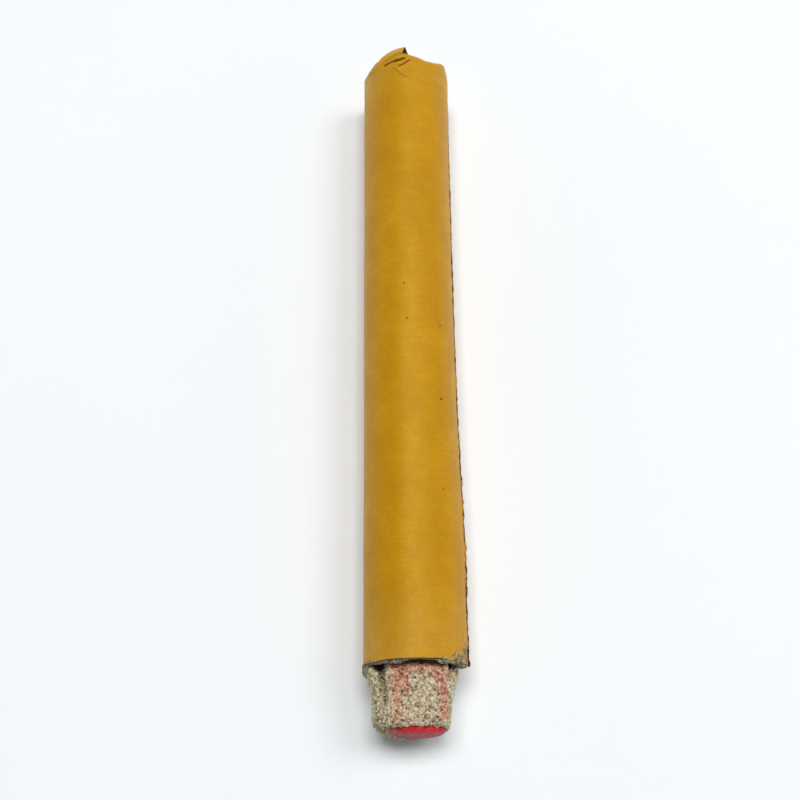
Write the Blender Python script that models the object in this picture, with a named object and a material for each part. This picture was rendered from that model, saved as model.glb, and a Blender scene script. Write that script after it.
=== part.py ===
"""Hand-lit road flare: a paper-wrapped tube of burning composition with a friction striker plug pushed into its mouth.

Frame: metres, +Z up. The flare lies on its side along Y. The striker end points to -Y and the folded tail to +Y.
The origin is under the middle of the flare, on the surface it lies on.
Along the flare, stations are counted from the mouth of the tube: minus is outside, plus is towards the tail.
Round the flare, angles are counted from straight up, positive towards +X.
"""

import math

import bmesh
import bpy
from mathutils import Matrix, Vector

MM = 0.001

# ---------------------------------------------------------------- driving dimensions, in millimetres
SEGMENTS = 64            # facets round every turned piece
WRAP_R = 11.0            # outside of the wrapper, one ply of kraft over the casing
WRAP_INNER_R = 10.72     # inside of the wrapper
WRAP_PLY = 0.30          # step at the lap, where the outer ply ends
LAP_EDGE_DEG = 88.0      # where the outer ply's free edge lies
LAP_START_DEG = 50.0     # where the outer ply climbs over the ply below
LAP_LIFT = 0.64          # how far the free edge stands off at the mouth
TUBE_LENGTH = 152.4      # mouth to the shoulder of the folded tail
TAIL_END = 154.0         # the folded face
EAR_HEIGHT = 1.55        # the twisted ear above the folded face
EAR_DEG, FLAPS = -6.0, 5 # where the ear is, and how many flaps close the tail
MOUTH_Y = -69.9745        # the mouth's station in the row frame

CASING_R, CASING_BORE_R = 10.58, 9.35
CASING_END = 150.0
LINER_R, LINER_BORE_R = 9.20, 8.92
LINER_START, LINER_END = 15.5, 137.6

SEAL_R, SEAL_INNER_R = 11.0, 9.65
SEAL_BACK, SEAL_FRONT, SEAL_EXTRA = -0.15, -0.50, 0.45

WASHER_R, WASHER_HOLE_R = 9.18, 5.35
WASHER_START, WASHER_END = 13.9, 15.2
BUTTON_R, BUTTON_STEM_R = 4.95, 3.0
BUTTON_FRONT, BUTTON_BACK, BUTTON_STEM_END = 12.7, 15.4, 17.8
STARTER_R = 8.75
STARTER_START, STARTER_END = 15.6, 21.6
STARTER_POCKET_R, STARTER_POCKET_DEPTH = 3.25, 2.5

GRAIN_R = 8.75
GRAIN_START, GRAIN_PITCH, GRAIN_LENGTH, GRAIN_COUNT = 21.8, 22.86, 22.66, 5

WAD_START, WAD_END = 136.3, 137.5
TAIL_PLUG_R = 9.18
TAIL_PLUG_START, TAIL_PLUG_END = 137.8, 149.6
COVER_R = 10.45
COVER_START, COVER_END = 150.15, 150.85

# striker plug, a cast abrasive block with a red striking tip
PLUG_TURN_DEG = 6.0      # how far its front face is turned towards +X
PLUG_TENON = 10.0        # depth in the mouth
PLUG_NOSE = 13.75        # length that stands out of the mouth, at the middle of its slanted nose
NOSE_SLANT = 0.128       # the nose stands further out at its foot than at its front face
PLUG_SHIFT = -0.34       # how far its nose leans towards -X
TIP_R, TIP_HEIGHT = 6.15, 1.1
TIP_POCKET_R, TIP_POCKET_DEPTH, TIP_SEAT = 6.40, 0.9, 0.75
GUARD_R, GUARD_START, GUARD_END = 6.6, 10.12, 10.62

# ---------------------------------------------------------------- derived
STEP = 2 * math.pi / SEGMENTS
AXIS_Z = WRAP_R * math.cos(STEP / 2)                     # the lowest facet lies on Z = 0
AXIS_X = (WRAP_R * math.cos(STEP / 2) - (WRAP_R + WRAP_PLY + LAP_LIFT) * math.sin(math.radians(LAP_EDGE_DEG))) / 2  # the lap makes the flare wider towards +X
ANGLES = [(i + 0.5) * STEP for i in range(SEGMENTS)]     # facets centred under, over and beside the axis


def smooth(x):
    x = min(1.0, max(0.0, x))
    return x * x * (3 - 2 * x)


def material(name, colour, roughness, metallic=0.0):
    mat = bpy.data.materials.new(name)
    mat.use_nodes = True
    bsdf = mat.node_tree.nodes["Principled BSDF"]
    bsdf.inputs["Base Color"].default_value = (*colour, 1.0)
    bsdf.inputs["Roughness"].default_value = roughness
    bsdf.inputs["Metallic"].default_value = metallic
    mat.diffuse_color = (*colour, 1.0)
    return mat


def axis_empty(name):
    empty = bpy.data.objects.new(name, None)
    empty.empty_display_size = 0.01
    bpy.context.scene.collection.objects.link(empty)
    empty.location = (AXIS_X * MM, MOUTH_Y * MM, AXIS_Z * MM)
    return empty


def finish(bm, name, mat, parent, station, turn_deg=0.0):
    """Makes the object: its origin on the flare's axis, at its own station."""
    bmesh.ops.remove_doubles(bm, verts=bm.verts[:], dist=1e-7)
    bmesh.ops.recalc_face_normals(bm, faces=bm.faces[:])
    mesh = bpy.data.meshes.new(name)
    bm.to_mesh(mesh)
    bm.free()
    mesh.materials.append(mat)
    mesh.shade_smooth()
    mesh.set_sharp_from_angle(angle=math.radians(35))
    obj = bpy.data.objects.new(name, mesh)
    bpy.context.scene.collection.objects.link(obj)
    obj.parent = parent
    obj.location = (0, station * MM, 0)
    obj.rotation_euler = (0, math.radians(turn_deg), 0)
    return obj


def turned(name, profile, mat, parent, closed):
    """Spins a profile of (radius, station) round the flare's axis. A closed profile is a ring, an open one starts and ends on the axis."""
    station = profile[0][1]
    bm = bmesh.new()
    half = STEP / 2
    verts = [
        bm.verts.new((r * math.sin(half) * MM, (y - station) * MM, r * math.cos(half) * MM))
        for r, y in profile
    ]
    edges = [bm.edges.new((verts[i], verts[i + 1])) for i in range(len(verts) - 1)]
    if closed:
        edges.append(bm.edges.new((verts[-1], verts[0])))
    bmesh.ops.spin(
        bm,
        geom=verts + edges,
        cent=(0, 0, 0),
        axis=(0, 1, 0),
        dvec=(0, 0, 0),
        angle=2 * math.pi,
        steps=SEGMENTS,
        use_merge=True,
        use_normal_flip=False,
        use_duplicate=False,
    )
    return finish(bm, name, mat, parent, station)


def ring_tube(name, outer, inner, start, end, mat, parent, chamfer=0.0):
    c = chamfer
    if c:
        profile = [(inner, start), (outer - c, start), (outer, start + c), (outer, end - c), (outer - c, end), (inner, end)]
    else:
        profile = [(inner, start), (outer, start), (outer, end), (inner, end)]
    return turned(name, profile, mat, parent, True)


def slug(name, radius, start, end, mat, parent, chamfer=0.4):
    c = chamfer
    profile = [(0, start), (radius - c, start), (radius, start + c), (radius, end - c), (radius - c, end), (0, end)]
    return turned(name, profile, mat, parent, False)


def loft(bm, rings, close_ends):
    """Joins rings of equal length with quads, and fans the last one to a point if asked."""
    loops = [[bm.verts.new(p) for p in ring] for ring in rings]
    count = len(loops[0])
    for a, b in zip(loops, loops[1:]):
        for i in range(count):
            j = (i + 1) % count
            bm.faces.new((a[i], a[j], b[j], b[i]))
    for end, point in close_ends:
        loop = loops[end]
        tip = bm.verts.new(point)
        for i in range(count):
            bm.faces.new((loop[i], loop[(i + 1) % count], tip))
    return loops


# ---------------------------------------------------------------- the wrapper
def lap_angles():
    """The facet angles, with two more at the free edge of the outer ply, so that the step there is sharp."""
    edge = math.radians(LAP_EDGE_DEG)
    return sorted(ANGLES + [edge, edge + math.radians(0.5)])


def wrap_radius(angle, station):
    """Outside of the wrapper: one ply, with a second one over the lap that lifts towards the mouth."""
    deg = math.degrees(angle)
    if LAP_START_DEG <= deg <= LAP_EDGE_DEG + 0.01:
        climb = smooth((deg - LAP_START_DEG) / 12.0)
        lift = LAP_LIFT * max(0.0, 1 - station / TAIL_END) ** 1.6
        lift *= smooth((deg - 36.0) / (LAP_EDGE_DEG - 36.0))
        return WRAP_R + climb * (WRAP_PLY + lift)
    return WRAP_R


def polar(radius, angle, station, shift_z=0.0):
    return (radius * math.sin(angle) * MM, station * MM, (radius * math.cos(angle) + shift_z) * MM)


def outer_wrapper(mat, parent):
    """A kraft sheet rolled round the casing, lapped along one side, and folded in over the tail with a twisted ear at the top."""
    angles = lap_angles()
    rings = []
    for station in (0.0, 12.0, 28.0, 48.0, 72.0, 100.0, 128.0, 146.0, 151.2):
        rings.append([polar(wrap_radius(a, station), a, station) for a in angles])
    # folded tail, in five flaps: (station, share of the radius, how far the corners between the flaps stand up)
    for station, share, pleat in (
        (152.2, 0.990, 0.00),
        (152.95, 0.955, 0.30),
        (153.3, 0.88, 0.55),
        (153.45, 0.74, 0.45),
        (153.4, 0.55, 0.25),
        (153.4, 0.33, 0.10),
        (153.4, 0.14, 0.00),
    ):
        ring = []
        for a in angles:
            turn = math.remainder(a - math.radians(EAR_DEG), 2 * math.pi)
            ear = math.exp(-((turn / math.radians(15.0)) ** 2)) * smooth((0.995 - share) / 0.04) * smooth((share - 0.60) / 0.2)
            wave = pleat * math.cos(FLAPS * (a - math.radians(EAR_DEG)))
            radius = wrap_radius(a, station) * share + 0.25 * ear
            ring.append(polar(radius, a, station + wave + EAR_HEIGHT * ear))
        rings.append(ring)
    outside = len(rings)
    # inside, from the tail back to the mouth
    for station, share in ((152.65, 0.16), (152.6, 0.45), (152.3, 0.72), (151.9, 0.90), (151.4, 0.985), (151.0, 1.0), (0.0, 1.0)):
        rings.append([polar(WRAP_INNER_R * share, a, station) for a in angles])
    bm = bmesh.new()
    loops = [[bm.verts.new(p) for p in ring] for ring in rings]
    count = len(angles)

    def band(a, b):
        for i in range(count):
            j = (i + 1) % count
            bm.faces.new((a[i], a[j], b[j], b[i]))

    for k in range(outside - 1):
        band(loops[k], loops[k + 1])
    for k in range(outside, len(loops) - 1):
        band(loops[k], loops[k + 1])
    band(loops[-1], loops[0])
    for loop, station in ((loops[outside - 1], 153.4), (loops[outside], 152.65)):
        tip = bm.verts.new((0, station * MM, 0))
        for i in range(count):
            bm.faces.new((loop[i], loop[(i + 1) % count], tip))
    return finish(bm, "outer_wrapper", mat, parent, 0.0)


def mouth_seal(mat, parent):
    """A bead of grey sealing paste on the cut ends of the casing and wrapper, thicker at both sides than at the top."""
    bm = bmesh.new()
    sections = []
    for a in ANGLES:
        side = 0.5 - 0.5 * math.cos(2 * a - 0.5)
        front = SEAL_FRONT - SEAL_EXTRA * side
        back = SEAL_BACK
        outer = SEAL_R - 0.05
        points = [
            (SEAL_INNER_R, back),
            (outer, back),
            (outer, front + 0.16),
            (outer - 0.30, front),
            (SEAL_INNER_R + 0.30, front),
            (SEAL_INNER_R, front + 0.16),
        ]
        sections.append([bm.verts.new(polar(r, a, y)) for r, y in points])
    count = len(sections)
    for k in range(count):
        a, b = sections[k], sections[(k + 1) % count]
        for i in range(6):
            j = (i + 1) % 6
            bm.faces.new((a[i], a[j], b[j], b[i]))
    return finish(bm, "mouth_seal", mat, parent, 0.0)


# ---------------------------------------------------------------- the striker plug
# One quarter of each section, from the middle of the front face round to the middle of the side, as (x, z).
KEYED = [(0.0, 7.0), (3.0, 7.0), (5.5, 6.95), (6.1, 6.7), (6.3, 6.1), (6.35, 5.2), (6.55, 4.6), (7.3, 4.15), (8.2, 3.45), (8.8, 2.5), (9.12, 1.3), (9.2, 0.0)]
ROUNDED = [(0.0, 7.3), (2.8, 7.3), (4.5, 7.2), (5.6, 6.95), (6.35, 6.45), (6.95, 5.8), (7.45, 5.05), (7.85, 4.25), (8.2, 3.35), (8.42, 2.3), (8.56, 1.15), (8.6, 0.0)]


def plug_section(fade, shrink=1.0):
    """The whole section, 44 points, between the keyed one (fade 0) and the rounded square (fade 1)."""
    quarter = [
        ((1 - fade) * kx + fade * rx, (1 - fade) * kz + fade * rz)
        for (kx, kz), (rx, rz) in zip(KEYED, ROUNDED)
    ]
    right_front = quarter[:-1]
    right_back = [(x, -z) for x, z in reversed(quarter)][:-1]
    left_back = [(-x, -z) for x, z in quarter][:-1]
    left_front = [(-x, z) for x, z in reversed(quarter)][:-1]
    return [(x * shrink, z * shrink) for x, z in right_front + right_back + left_back + left_front]


def striker_block(mat, parent):
    """Cast abrasive block: a square core with a key on each side where it fits the mouth. The grooves run out towards the nose."""
    turn = math.radians(PLUG_TURN_DEG)

    def slanted(station, z):
        return station + NOSE_SLANT * z * smooth((-station - 9.6) / (PLUG_NOSE - 9.6))

    def ring(station, fade, shrink=1.0, inset=0.0):
        """inset rounds the nose: all of it at the sides, and a third of it at the front and back faces."""
        out = max(0.0, -station) / PLUG_NOSE
        shift = PLUG_SHIFT * out
        # the shift is stated in the row frame, and the object itself is turned
        dx, dz = shift * math.cos(turn), shift * math.sin(turn)
        points = []
        for x, z in plug_section(fade, shrink):
            x, z = x * (1 - inset / 8.6), z * (1 - 0.36 * inset / 7.3)
            points.append(((x + dx) * MM, slanted(station, z) * MM, (z + dz) * MM))
        return points

    def circle(station, radius):
        dx, dz = PLUG_SHIFT * math.cos(turn), PLUG_SHIFT * math.sin(turn)
        count = len(plug_section(0))
        points = []
        for x, z in plug_section(1):
            a = math.atan2(x, z)
            z = radius * math.cos(a)
            points.append(((radius * math.sin(a) + dx) * MM, (station + NOSE_SLANT * z) * MM, (z + dz) * MM))
        assert len(points) == count
        return points

    nose = -PLUG_NOSE
    rings = [
        ring(PLUG_TENON, 0.0, 0.955),
        ring(PLUG_TENON - 0.6, 0.0, 0.985),
        ring(0.6, 0.0, 0.985),
        ring(-1.2, 0.0),
        ring(-4.0, 0.22),
        ring(-6.2, 0.52),
        ring(-8.2, 0.84),
        ring(-9.6, 1.0),
        ring(nose + 2.3, 1.0, 1.0, 0.10),
        ring(nose + 1.4, 1.0, 1.0, 0.36),
        ring(nose + 0.7, 1.0, 1.0, 0.78),
        ring(nose + 0.2, 1.0, 1.0, 1.30),
        ring(nose, 1.0, 1.0, 1.75),
        circle(nose, TIP_POCKET_R),
        circle(nose + TIP_POCKET_DEPTH, TIP_POCKET_R),
    ]
    bm = bmesh.new()
    dx, dz = PLUG_SHIFT * math.cos(turn), PLUG_SHIFT * math.sin(turn)
    loft(
        bm,
        rings,
        [
            (0, (0, PLUG_TENON * MM, 0)),
            (-1, (dx * MM, (nose + TIP_POCKET_DEPTH) * MM, dz * MM)),
        ],
    )
    obj = finish(bm, "striker_block", mat, parent, 0.0, PLUG_TURN_DEG)
    return obj


def striking_tip(mat, parent):
    """Domed red striking compound, seated in the pocket of the block's nose and slanted like it."""
    nose = -PLUG_NOSE
    seat = nose + TIP_SEAT
    profile = [(0.0, seat), (TIP_R - 0.25, seat), (TIP_R, seat - 0.25), (TIP_R, nose)]
    front = nose - 0.15
    for share in (0.985, 0.94, 0.87, 0.76, 0.60, 0.40, 0.20):
        profile.append((TIP_R * share, front - TIP_HEIGHT * math.sqrt(1 - share**4)))
    profile.append((0.0, front - TIP_HEIGHT))
    obj = turned("striking_tip", profile, mat, parent, False)
    turn = math.radians(PLUG_TURN_DEG)
    for v in obj.data.vertices:
        v.co.y += NOSE_SLANT * (v.co.x * math.sin(turn) + v.co.z * math.cos(turn))
    obj.location.x += PLUG_SHIFT * MM
    return obj


# ---------------------------------------------------------------- build
def main():
    for obj in list(bpy.data.objects):
        bpy.data.objects.remove(obj, do_unlink=True)

    kraft = material("waxed_kraft", (0.46, 0.24, 0.03), 0.55)
    board = material("grey_board", (0.30, 0.27, 0.23), 0.9)
    liner = material("liner_paper", (0.62, 0.52, 0.38), 0.7)
    paste = material("sealing_paste", (0.22, 0.21, 0.17), 0.95)
    mix = material("burning_composition", (0.50, 0.17, 0.14), 0.95)
    starter = material("starter_mix", (0.16, 0.15, 0.15), 0.95)
    button = material("ignition_compound", (0.06, 0.05, 0.05), 0.6)
    clay = material("pressed_clay", (0.48, 0.40, 0.31), 0.95)
    grit = material("abrasive_grit", (0.36, 0.31, 0.22), 0.95)
    red = material("red_striking_compound", (0.72, 0.03, 0.04), 0.4)

    flare = axis_empty("flare_axis")
    striker = axis_empty("striker_axis")

    outer_wrapper(kraft, flare)
    mouth_seal(paste, flare)
    ring_tube("casing_tube", CASING_R, CASING_BORE_R, 0.0, CASING_END, board, flare)
    ring_tube("inner_liner", LINER_R, LINER_BORE_R, LINER_START, LINER_END, liner, flare)
    ring_tube("retaining_washer", WASHER_R, WASHER_HOLE_R, WASHER_START, WASHER_END, board, flare, 0.15)

    head = [(0.0, BUTTON_FRONT)]
    for k in range(1, 7):
        a = k / 6 * math.pi / 2
        head.append((BUTTON_R * math.sin(a), BUTTON_FRONT + 1.5 * (1 - math.cos(a))))
    head += [(BUTTON_R, BUTTON_BACK), (BUTTON_STEM_R, BUTTON_BACK), (BUTTON_STEM_R, BUTTON_STEM_END), (0.0, BUTTON_STEM_END)]
    turned("ignition_button", head, button, flare, False)

    pocket = STARTER_START + STARTER_POCKET_DEPTH
    turned(
        "starter_charge",
        [
            (0.0, pocket),
            (STARTER_POCKET_R, pocket),
            (STARTER_POCKET_R, STARTER_START),
            (STARTER_R, STARTER_START),
            (STARTER_R, STARTER_END),
            (0.0, STARTER_END),
        ],
        starter,
        flare,
        False,
    )
    for k in range(GRAIN_COUNT):
        start = GRAIN_START + k * GRAIN_PITCH
        slug(f"composition_pressing_{k + 1}", GRAIN_R, start, start + GRAIN_LENGTH, mix, flare)
    slug("tail_wad", GRAIN_R, WAD_START, WAD_END, board, flare, 0.15)
    slug("tail_plug", TAIL_PLUG_R, TAIL_PLUG_START, TAIL_PLUG_END, clay, flare, 0.6)
    slug("tail_cover_disc", COVER_R, COVER_START, COVER_END, board, flare, 0.15)

    striker_block(grit, striker)
    striking_tip(red, striker)
    slug("guard_disc", GUARD_R, GUARD_START, GUARD_END, liner, striker, 0.1)


main()
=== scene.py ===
"""Looks for the road flare: a waxed kraft wrapper folded over its tail, a cast grit striker plug with a red tip, and the pieces inside."""

import math

import bmesh
import bpy
import numpy as np
from mathutils import Matrix, Vector

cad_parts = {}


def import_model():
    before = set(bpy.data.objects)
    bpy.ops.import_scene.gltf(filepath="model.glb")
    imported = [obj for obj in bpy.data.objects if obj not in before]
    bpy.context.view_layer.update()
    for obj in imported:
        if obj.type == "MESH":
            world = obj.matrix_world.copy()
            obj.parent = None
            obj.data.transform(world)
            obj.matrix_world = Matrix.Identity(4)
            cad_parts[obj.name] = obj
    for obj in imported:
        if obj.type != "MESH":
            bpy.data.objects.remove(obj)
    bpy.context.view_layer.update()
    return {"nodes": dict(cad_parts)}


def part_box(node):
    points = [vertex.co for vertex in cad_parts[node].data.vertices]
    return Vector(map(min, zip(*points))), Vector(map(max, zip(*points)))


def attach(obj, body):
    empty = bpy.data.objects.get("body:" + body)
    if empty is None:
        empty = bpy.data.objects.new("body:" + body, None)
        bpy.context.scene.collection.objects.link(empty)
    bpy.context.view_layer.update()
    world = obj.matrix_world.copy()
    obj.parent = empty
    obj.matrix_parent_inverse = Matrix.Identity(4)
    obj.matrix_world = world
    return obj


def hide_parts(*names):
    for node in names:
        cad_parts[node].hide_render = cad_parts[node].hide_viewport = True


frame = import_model()
NODES = frame["nodes"]

# ---------------------------------------------------------------- the flare's own axis, read from the CAD
_lo, _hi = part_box("casing_tube")
AX, AZ = (_lo.x + _hi.x) / 2 * 1000, (_lo.z + _hi.z) / 2 * 1000
MY = _lo.y * 1000                       # the mouth's station; local y counts from it towards the tail
RAD = math.pi / 180


def world(points):
    """Local millimetres, from the tube's axis at its mouth, to metres in the row frame."""
    return (np.asarray(points, float) + np.array([AX, MY, AZ])) * 0.001


# ---------------------------------------------------------------- camera
def aim(azimuth, elevation, roll):
    a, e, r = azimuth * RAD, elevation * RAD, roll * RAD
    back = np.array([math.sin(a) * math.cos(e), -math.cos(a) * math.cos(e), math.sin(e)])
    right = np.cross([0, 0, 1.0], back)
    right /= np.linalg.norm(right)
    up = np.cross(back, right)
    right2 = math.cos(r) * right + math.sin(r) * up
    up2 = -math.sin(r) * right + math.cos(r) * up
    m = Matrix.Identity(4)
    for i in range(3):
        m[i][0], m[i][1], m[i][2] = right2[i], up2[i], back[i]
    return m


cam_data = bpy.data.cameras.new("camera")
cam = bpy.data.objects.new("camera", cam_data)
bpy.context.scene.collection.objects.link(cam)
cam_data.sensor_width = 36
cam_data.lens = 1050 * 36 / 800
matrix = aim(1.578, 69.721, -2.288)
place = world([0.0, -25.263, 235.458])
for i in range(3):
    matrix[i][3] = place[i]
cam.matrix_world = matrix
cam_data.clip_start, cam_data.clip_end = 0.005, 10
bpy.context.scene.camera = cam


# ---------------------------------------------------------------- numbers: noise, easing, tables
def _hash(ix, iy, iz, seed):
    h = (
        ix.astype(np.int64) * 374761393
        + iy.astype(np.int64) * 668265263
        + iz.astype(np.int64) * 2147483647
        + seed * 1274126177
    ) & 0xFFFFFFFF
    h = ((h ^ (h >> 13)) * 1274126177) & 0xFFFFFFFF
    h = ((h ^ (h >> 16)) * 2246822519) & 0xFFFFFFFF
    return (h ^ (h >> 15)) / 4294967296.0


def vnoise(p, scale, seed=0):
    """Smooth noise in [-1, 1] with features of about scale."""
    q = np.asarray(p, float) / scale
    i = np.floor(q)
    f = q - i
    f = f * f * f * (f * (f * 6 - 15) + 10)
    i = i.astype(np.int64)
    out = 0.0
    for dx in (0, 1):
        wx = f[..., 0] if dx else 1 - f[..., 0]
        for dy in (0, 1):
            wy = f[..., 1] if dy else 1 - f[..., 1]
            for dz in (0, 1):
                wz = f[..., 2] if dz else 1 - f[..., 2]
                out = out + wx * wy * wz * _hash(i[..., 0] + dx, i[..., 1] + dy, i[..., 2] + dz, seed)
    return out * 2 - 1


def fbm(p, scale, octaves=4, seed=0, gain=0.5):
    total, amp, norm = 0.0, 1.0, 0.0
    for k in range(octaves):
        total = total + amp * vnoise(p, scale / 2**k, seed + 17 * k)
        norm += amp
        amp *= gain
    return total / norm


def cells(p, size, seed=0):
    """Distance to the nearest and second nearest jittered point, over the cell size, and that point's own random number."""
    q = np.asarray(p, float) / size
    base = np.floor(q).astype(np.int64)
    f1 = np.full(q.shape[:-1], 9.0)
    f2 = np.full(q.shape[:-1], 9.0)
    who = np.zeros(q.shape[:-1])
    for dx in (-1, 0, 1):
        for dy in (-1, 0, 1):
            for dz in (-1, 0, 1):
                cx, cy, cz = base[..., 0] + dx, base[..., 1] + dy, base[..., 2] + dz
                px = cx + _hash(cx, cy, cz, seed + 1)
                py = cy + _hash(cx, cy, cz, seed + 2)
                pz = cz + _hash(cx, cy, cz, seed + 3)
                d = np.sqrt((q[..., 0] - px) ** 2 + (q[..., 1] - py) ** 2 + (q[..., 2] - pz) ** 2)
                closer = d < f1
                f2 = np.where(closer, f1, np.minimum(f2, d))
                who = np.where(closer, _hash(cx, cy, cz, seed + 4), who)
                f1 = np.where(closer, d, f1)
    return f1, f2, who


def ease(x):
    x = np.clip(x, 0, 1)
    return x * x * (3 - 2 * x)


def band(x, lo, hi, soft):
    """1 between lo and hi, falling to 0 over soft on each side."""
    return ease((x - lo) / soft + 0.5) * ease((hi - x) / soft + 0.5)


def table(x, pairs):
    xs, ys = zip(*pairs)
    return np.interp(x, xs, ys)


def around(deg, pairs, smooth=3.0):
    """A periodic table over the angle, smoothed by a few degrees."""
    xs = np.array([a for a, _ in pairs], float)
    ys = np.array([b for _, b in pairs], float)
    grid = np.arange(0, 360, 0.5)
    values = np.interp(grid, np.concatenate([xs - 360, xs, xs + 360]), np.concatenate([ys, ys, ys]))
    k = np.exp(-0.5 * (np.arange(-40, 41) * 0.5 / smooth) ** 2)
    k /= k.sum()
    values = np.convolve(np.concatenate([values[-40:], values, values[:40]]), k, "valid")
    return np.interp(np.mod(deg, 360), np.append(grid, 360), np.append(values, values[0]))


def to_polyline(points, line):
    """Distance of 2-D points to a polyline, which side they are on, and how far along they are."""
    best = np.full(points.shape[:-1], 1e9)
    side = np.zeros(points.shape[:-1])
    along = np.zeros(points.shape[:-1])
    line = np.asarray(line, float)
    lengths = np.linalg.norm(np.diff(line, axis=0), axis=1)
    start = np.concatenate([[0], np.cumsum(lengths)])
    for k in range(len(line) - 1):
        a, b = line[k], line[k + 1]
        d = b - a
        t = np.clip(((points - a) @ d) / (d @ d), 0, 1)
        near = a + t[..., None] * d
        gap = points - near
        dist = np.linalg.norm(gap, axis=-1)
        closer = dist < best
        best = np.where(closer, dist, best)
        side = np.where(closer, np.sign(d[0] * (points[..., 1] - a[1]) - d[1] * (points[..., 0] - a[0])), side)
        along = np.where(closer, (start[k] + t * lengths[k]) / start[-1], along)
    return best, side, along


# ---------------------------------------------------------------- meshes
def make_mesh(name, verts, faces, attributes=None, sharp=40):
    """verts in local millimetres; faces as an (n, 4) or (n, 3) array, or a list of them."""
    groups = faces if isinstance(faces, list) else [faces]
    groups = [np.asarray(g, np.int64) for g in groups if len(g)]
    mesh = bpy.data.meshes.new(name)
    co = world(verts)
    co[:, 2] = np.maximum(co[:, 2], 0.0)                 # pressed flat where it lies on the ground
    mesh.vertices.add(len(co))
    mesh.vertices.foreach_set("co", co.astype(np.float32).ravel())
    loops = np.concatenate([g.ravel() for g in groups])
    sizes = np.concatenate([np.full(len(g), g.shape[1]) for g in groups])
    mesh.loops.add(len(loops))
    mesh.loops.foreach_set("vertex_index", loops.astype(np.int32))
    mesh.polygons.add(len(sizes))
    mesh.polygons.foreach_set("loop_start", np.concatenate([[0], np.cumsum(sizes)[:-1]]).astype(np.int32))
    mesh.polygons.foreach_set("loop_total", sizes.astype(np.int32))
    mesh.update(calc_edges=True)
    mesh.validate()
    for key, values in (attributes or {}).items():
        att = mesh.attributes.new(key, "FLOAT", "POINT")
        att.data.foreach_set("value", np.asarray(values, np.float32).ravel())
    # faces outwards: a closed mesh has a positive volume
    tri = world(verts)
    volume = 0.0
    for g in groups:
        for k in range(1, g.shape[1] - 1):
            a, b, c = tri[g[:, 0]], tri[g[:, k]], tri[g[:, k + 1]]
            volume += np.einsum("ij,ij->i", a - tri[0], np.cross(b - tri[0], c - tri[0])).sum()
    if volume < 0:
        mesh.flip_normals()
    mesh.shade_smooth()
    if sharp:
        mesh.set_sharp_from_angle(angle=sharp * RAD)
    obj = bpy.data.objects.new(name, mesh)
    bpy.context.scene.collection.objects.link(obj)
    return obj


def quads(rows, cols, wrap, offset=0):
    """Faces of a grid of rows x cols points, closed round its columns if wrap."""
    last = cols if wrap else cols - 1
    i, j = np.meshgrid(np.arange(rows - 1), np.arange(last), indexing="ij")
    j2 = (j + 1) % cols
    return offset + np.stack([i * cols + j, i * cols + j2, (i + 1) * cols + j2, (i + 1) * cols + j], -1).reshape(-1, 4)


def grid_normals(s, wrap):
    """Unit normals of a grid of points (rows, cols, 3)."""
    dr = np.gradient(s, axis=0)
    if wrap:
        dc = (np.roll(s, -1, 1) - np.roll(s, 1, 1)) / 2
    else:
        dc = np.gradient(s, axis=1)
    n = np.cross(dc, dr)
    return n / np.maximum(np.linalg.norm(n, axis=-1, keepdims=True), 1e-12)


def sheet_mesh(name, mid, normal, thick, attributes, sharp=40):
    """A closed sheet: the middle surface (rows, cols, 3), thickened to both sides and closed along its four edges."""
    rows, cols = mid.shape[:2]
    half = np.broadcast_to(np.asarray(thick, float), (rows, cols))[..., None] / 2
    outer, inner = mid + normal * half, mid - normal * half
    n = rows * cols
    f_out = quads(rows, cols, False)
    f_in = quads(rows, cols, False, n)[:, ::-1]
    idx = np.arange(n).reshape(rows, cols)
    edges = [idx[0, ::-1], idx[-1, :], idx[:, 0], idx[::-1, -1]]
    rim = []
    for e in edges:
        a, b = e[:-1], e[1:]
        rim.append(np.stack([a, b, b + n, a + n], -1)[:, ::-1])
    faces = np.concatenate([f_out, f_in] + rim)
    attrs = {k: np.concatenate([np.ravel(v), np.ravel(v)]) for k, v in attributes.items()}
    return make_mesh(name, np.concatenate([outer.reshape(-1, 3), inner.reshape(-1, 3)]), faces, attrs, sharp)


# ---------------------------------------------------------------- materials
def srgb(r, g, b):
    def lin(v):
        v = v / 255
        return v / 12.92 if v <= 0.04045 else ((v + 0.055) / 1.055) ** 2.4

    return (lin(r), lin(g), lin(b), 1.0)


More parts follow.
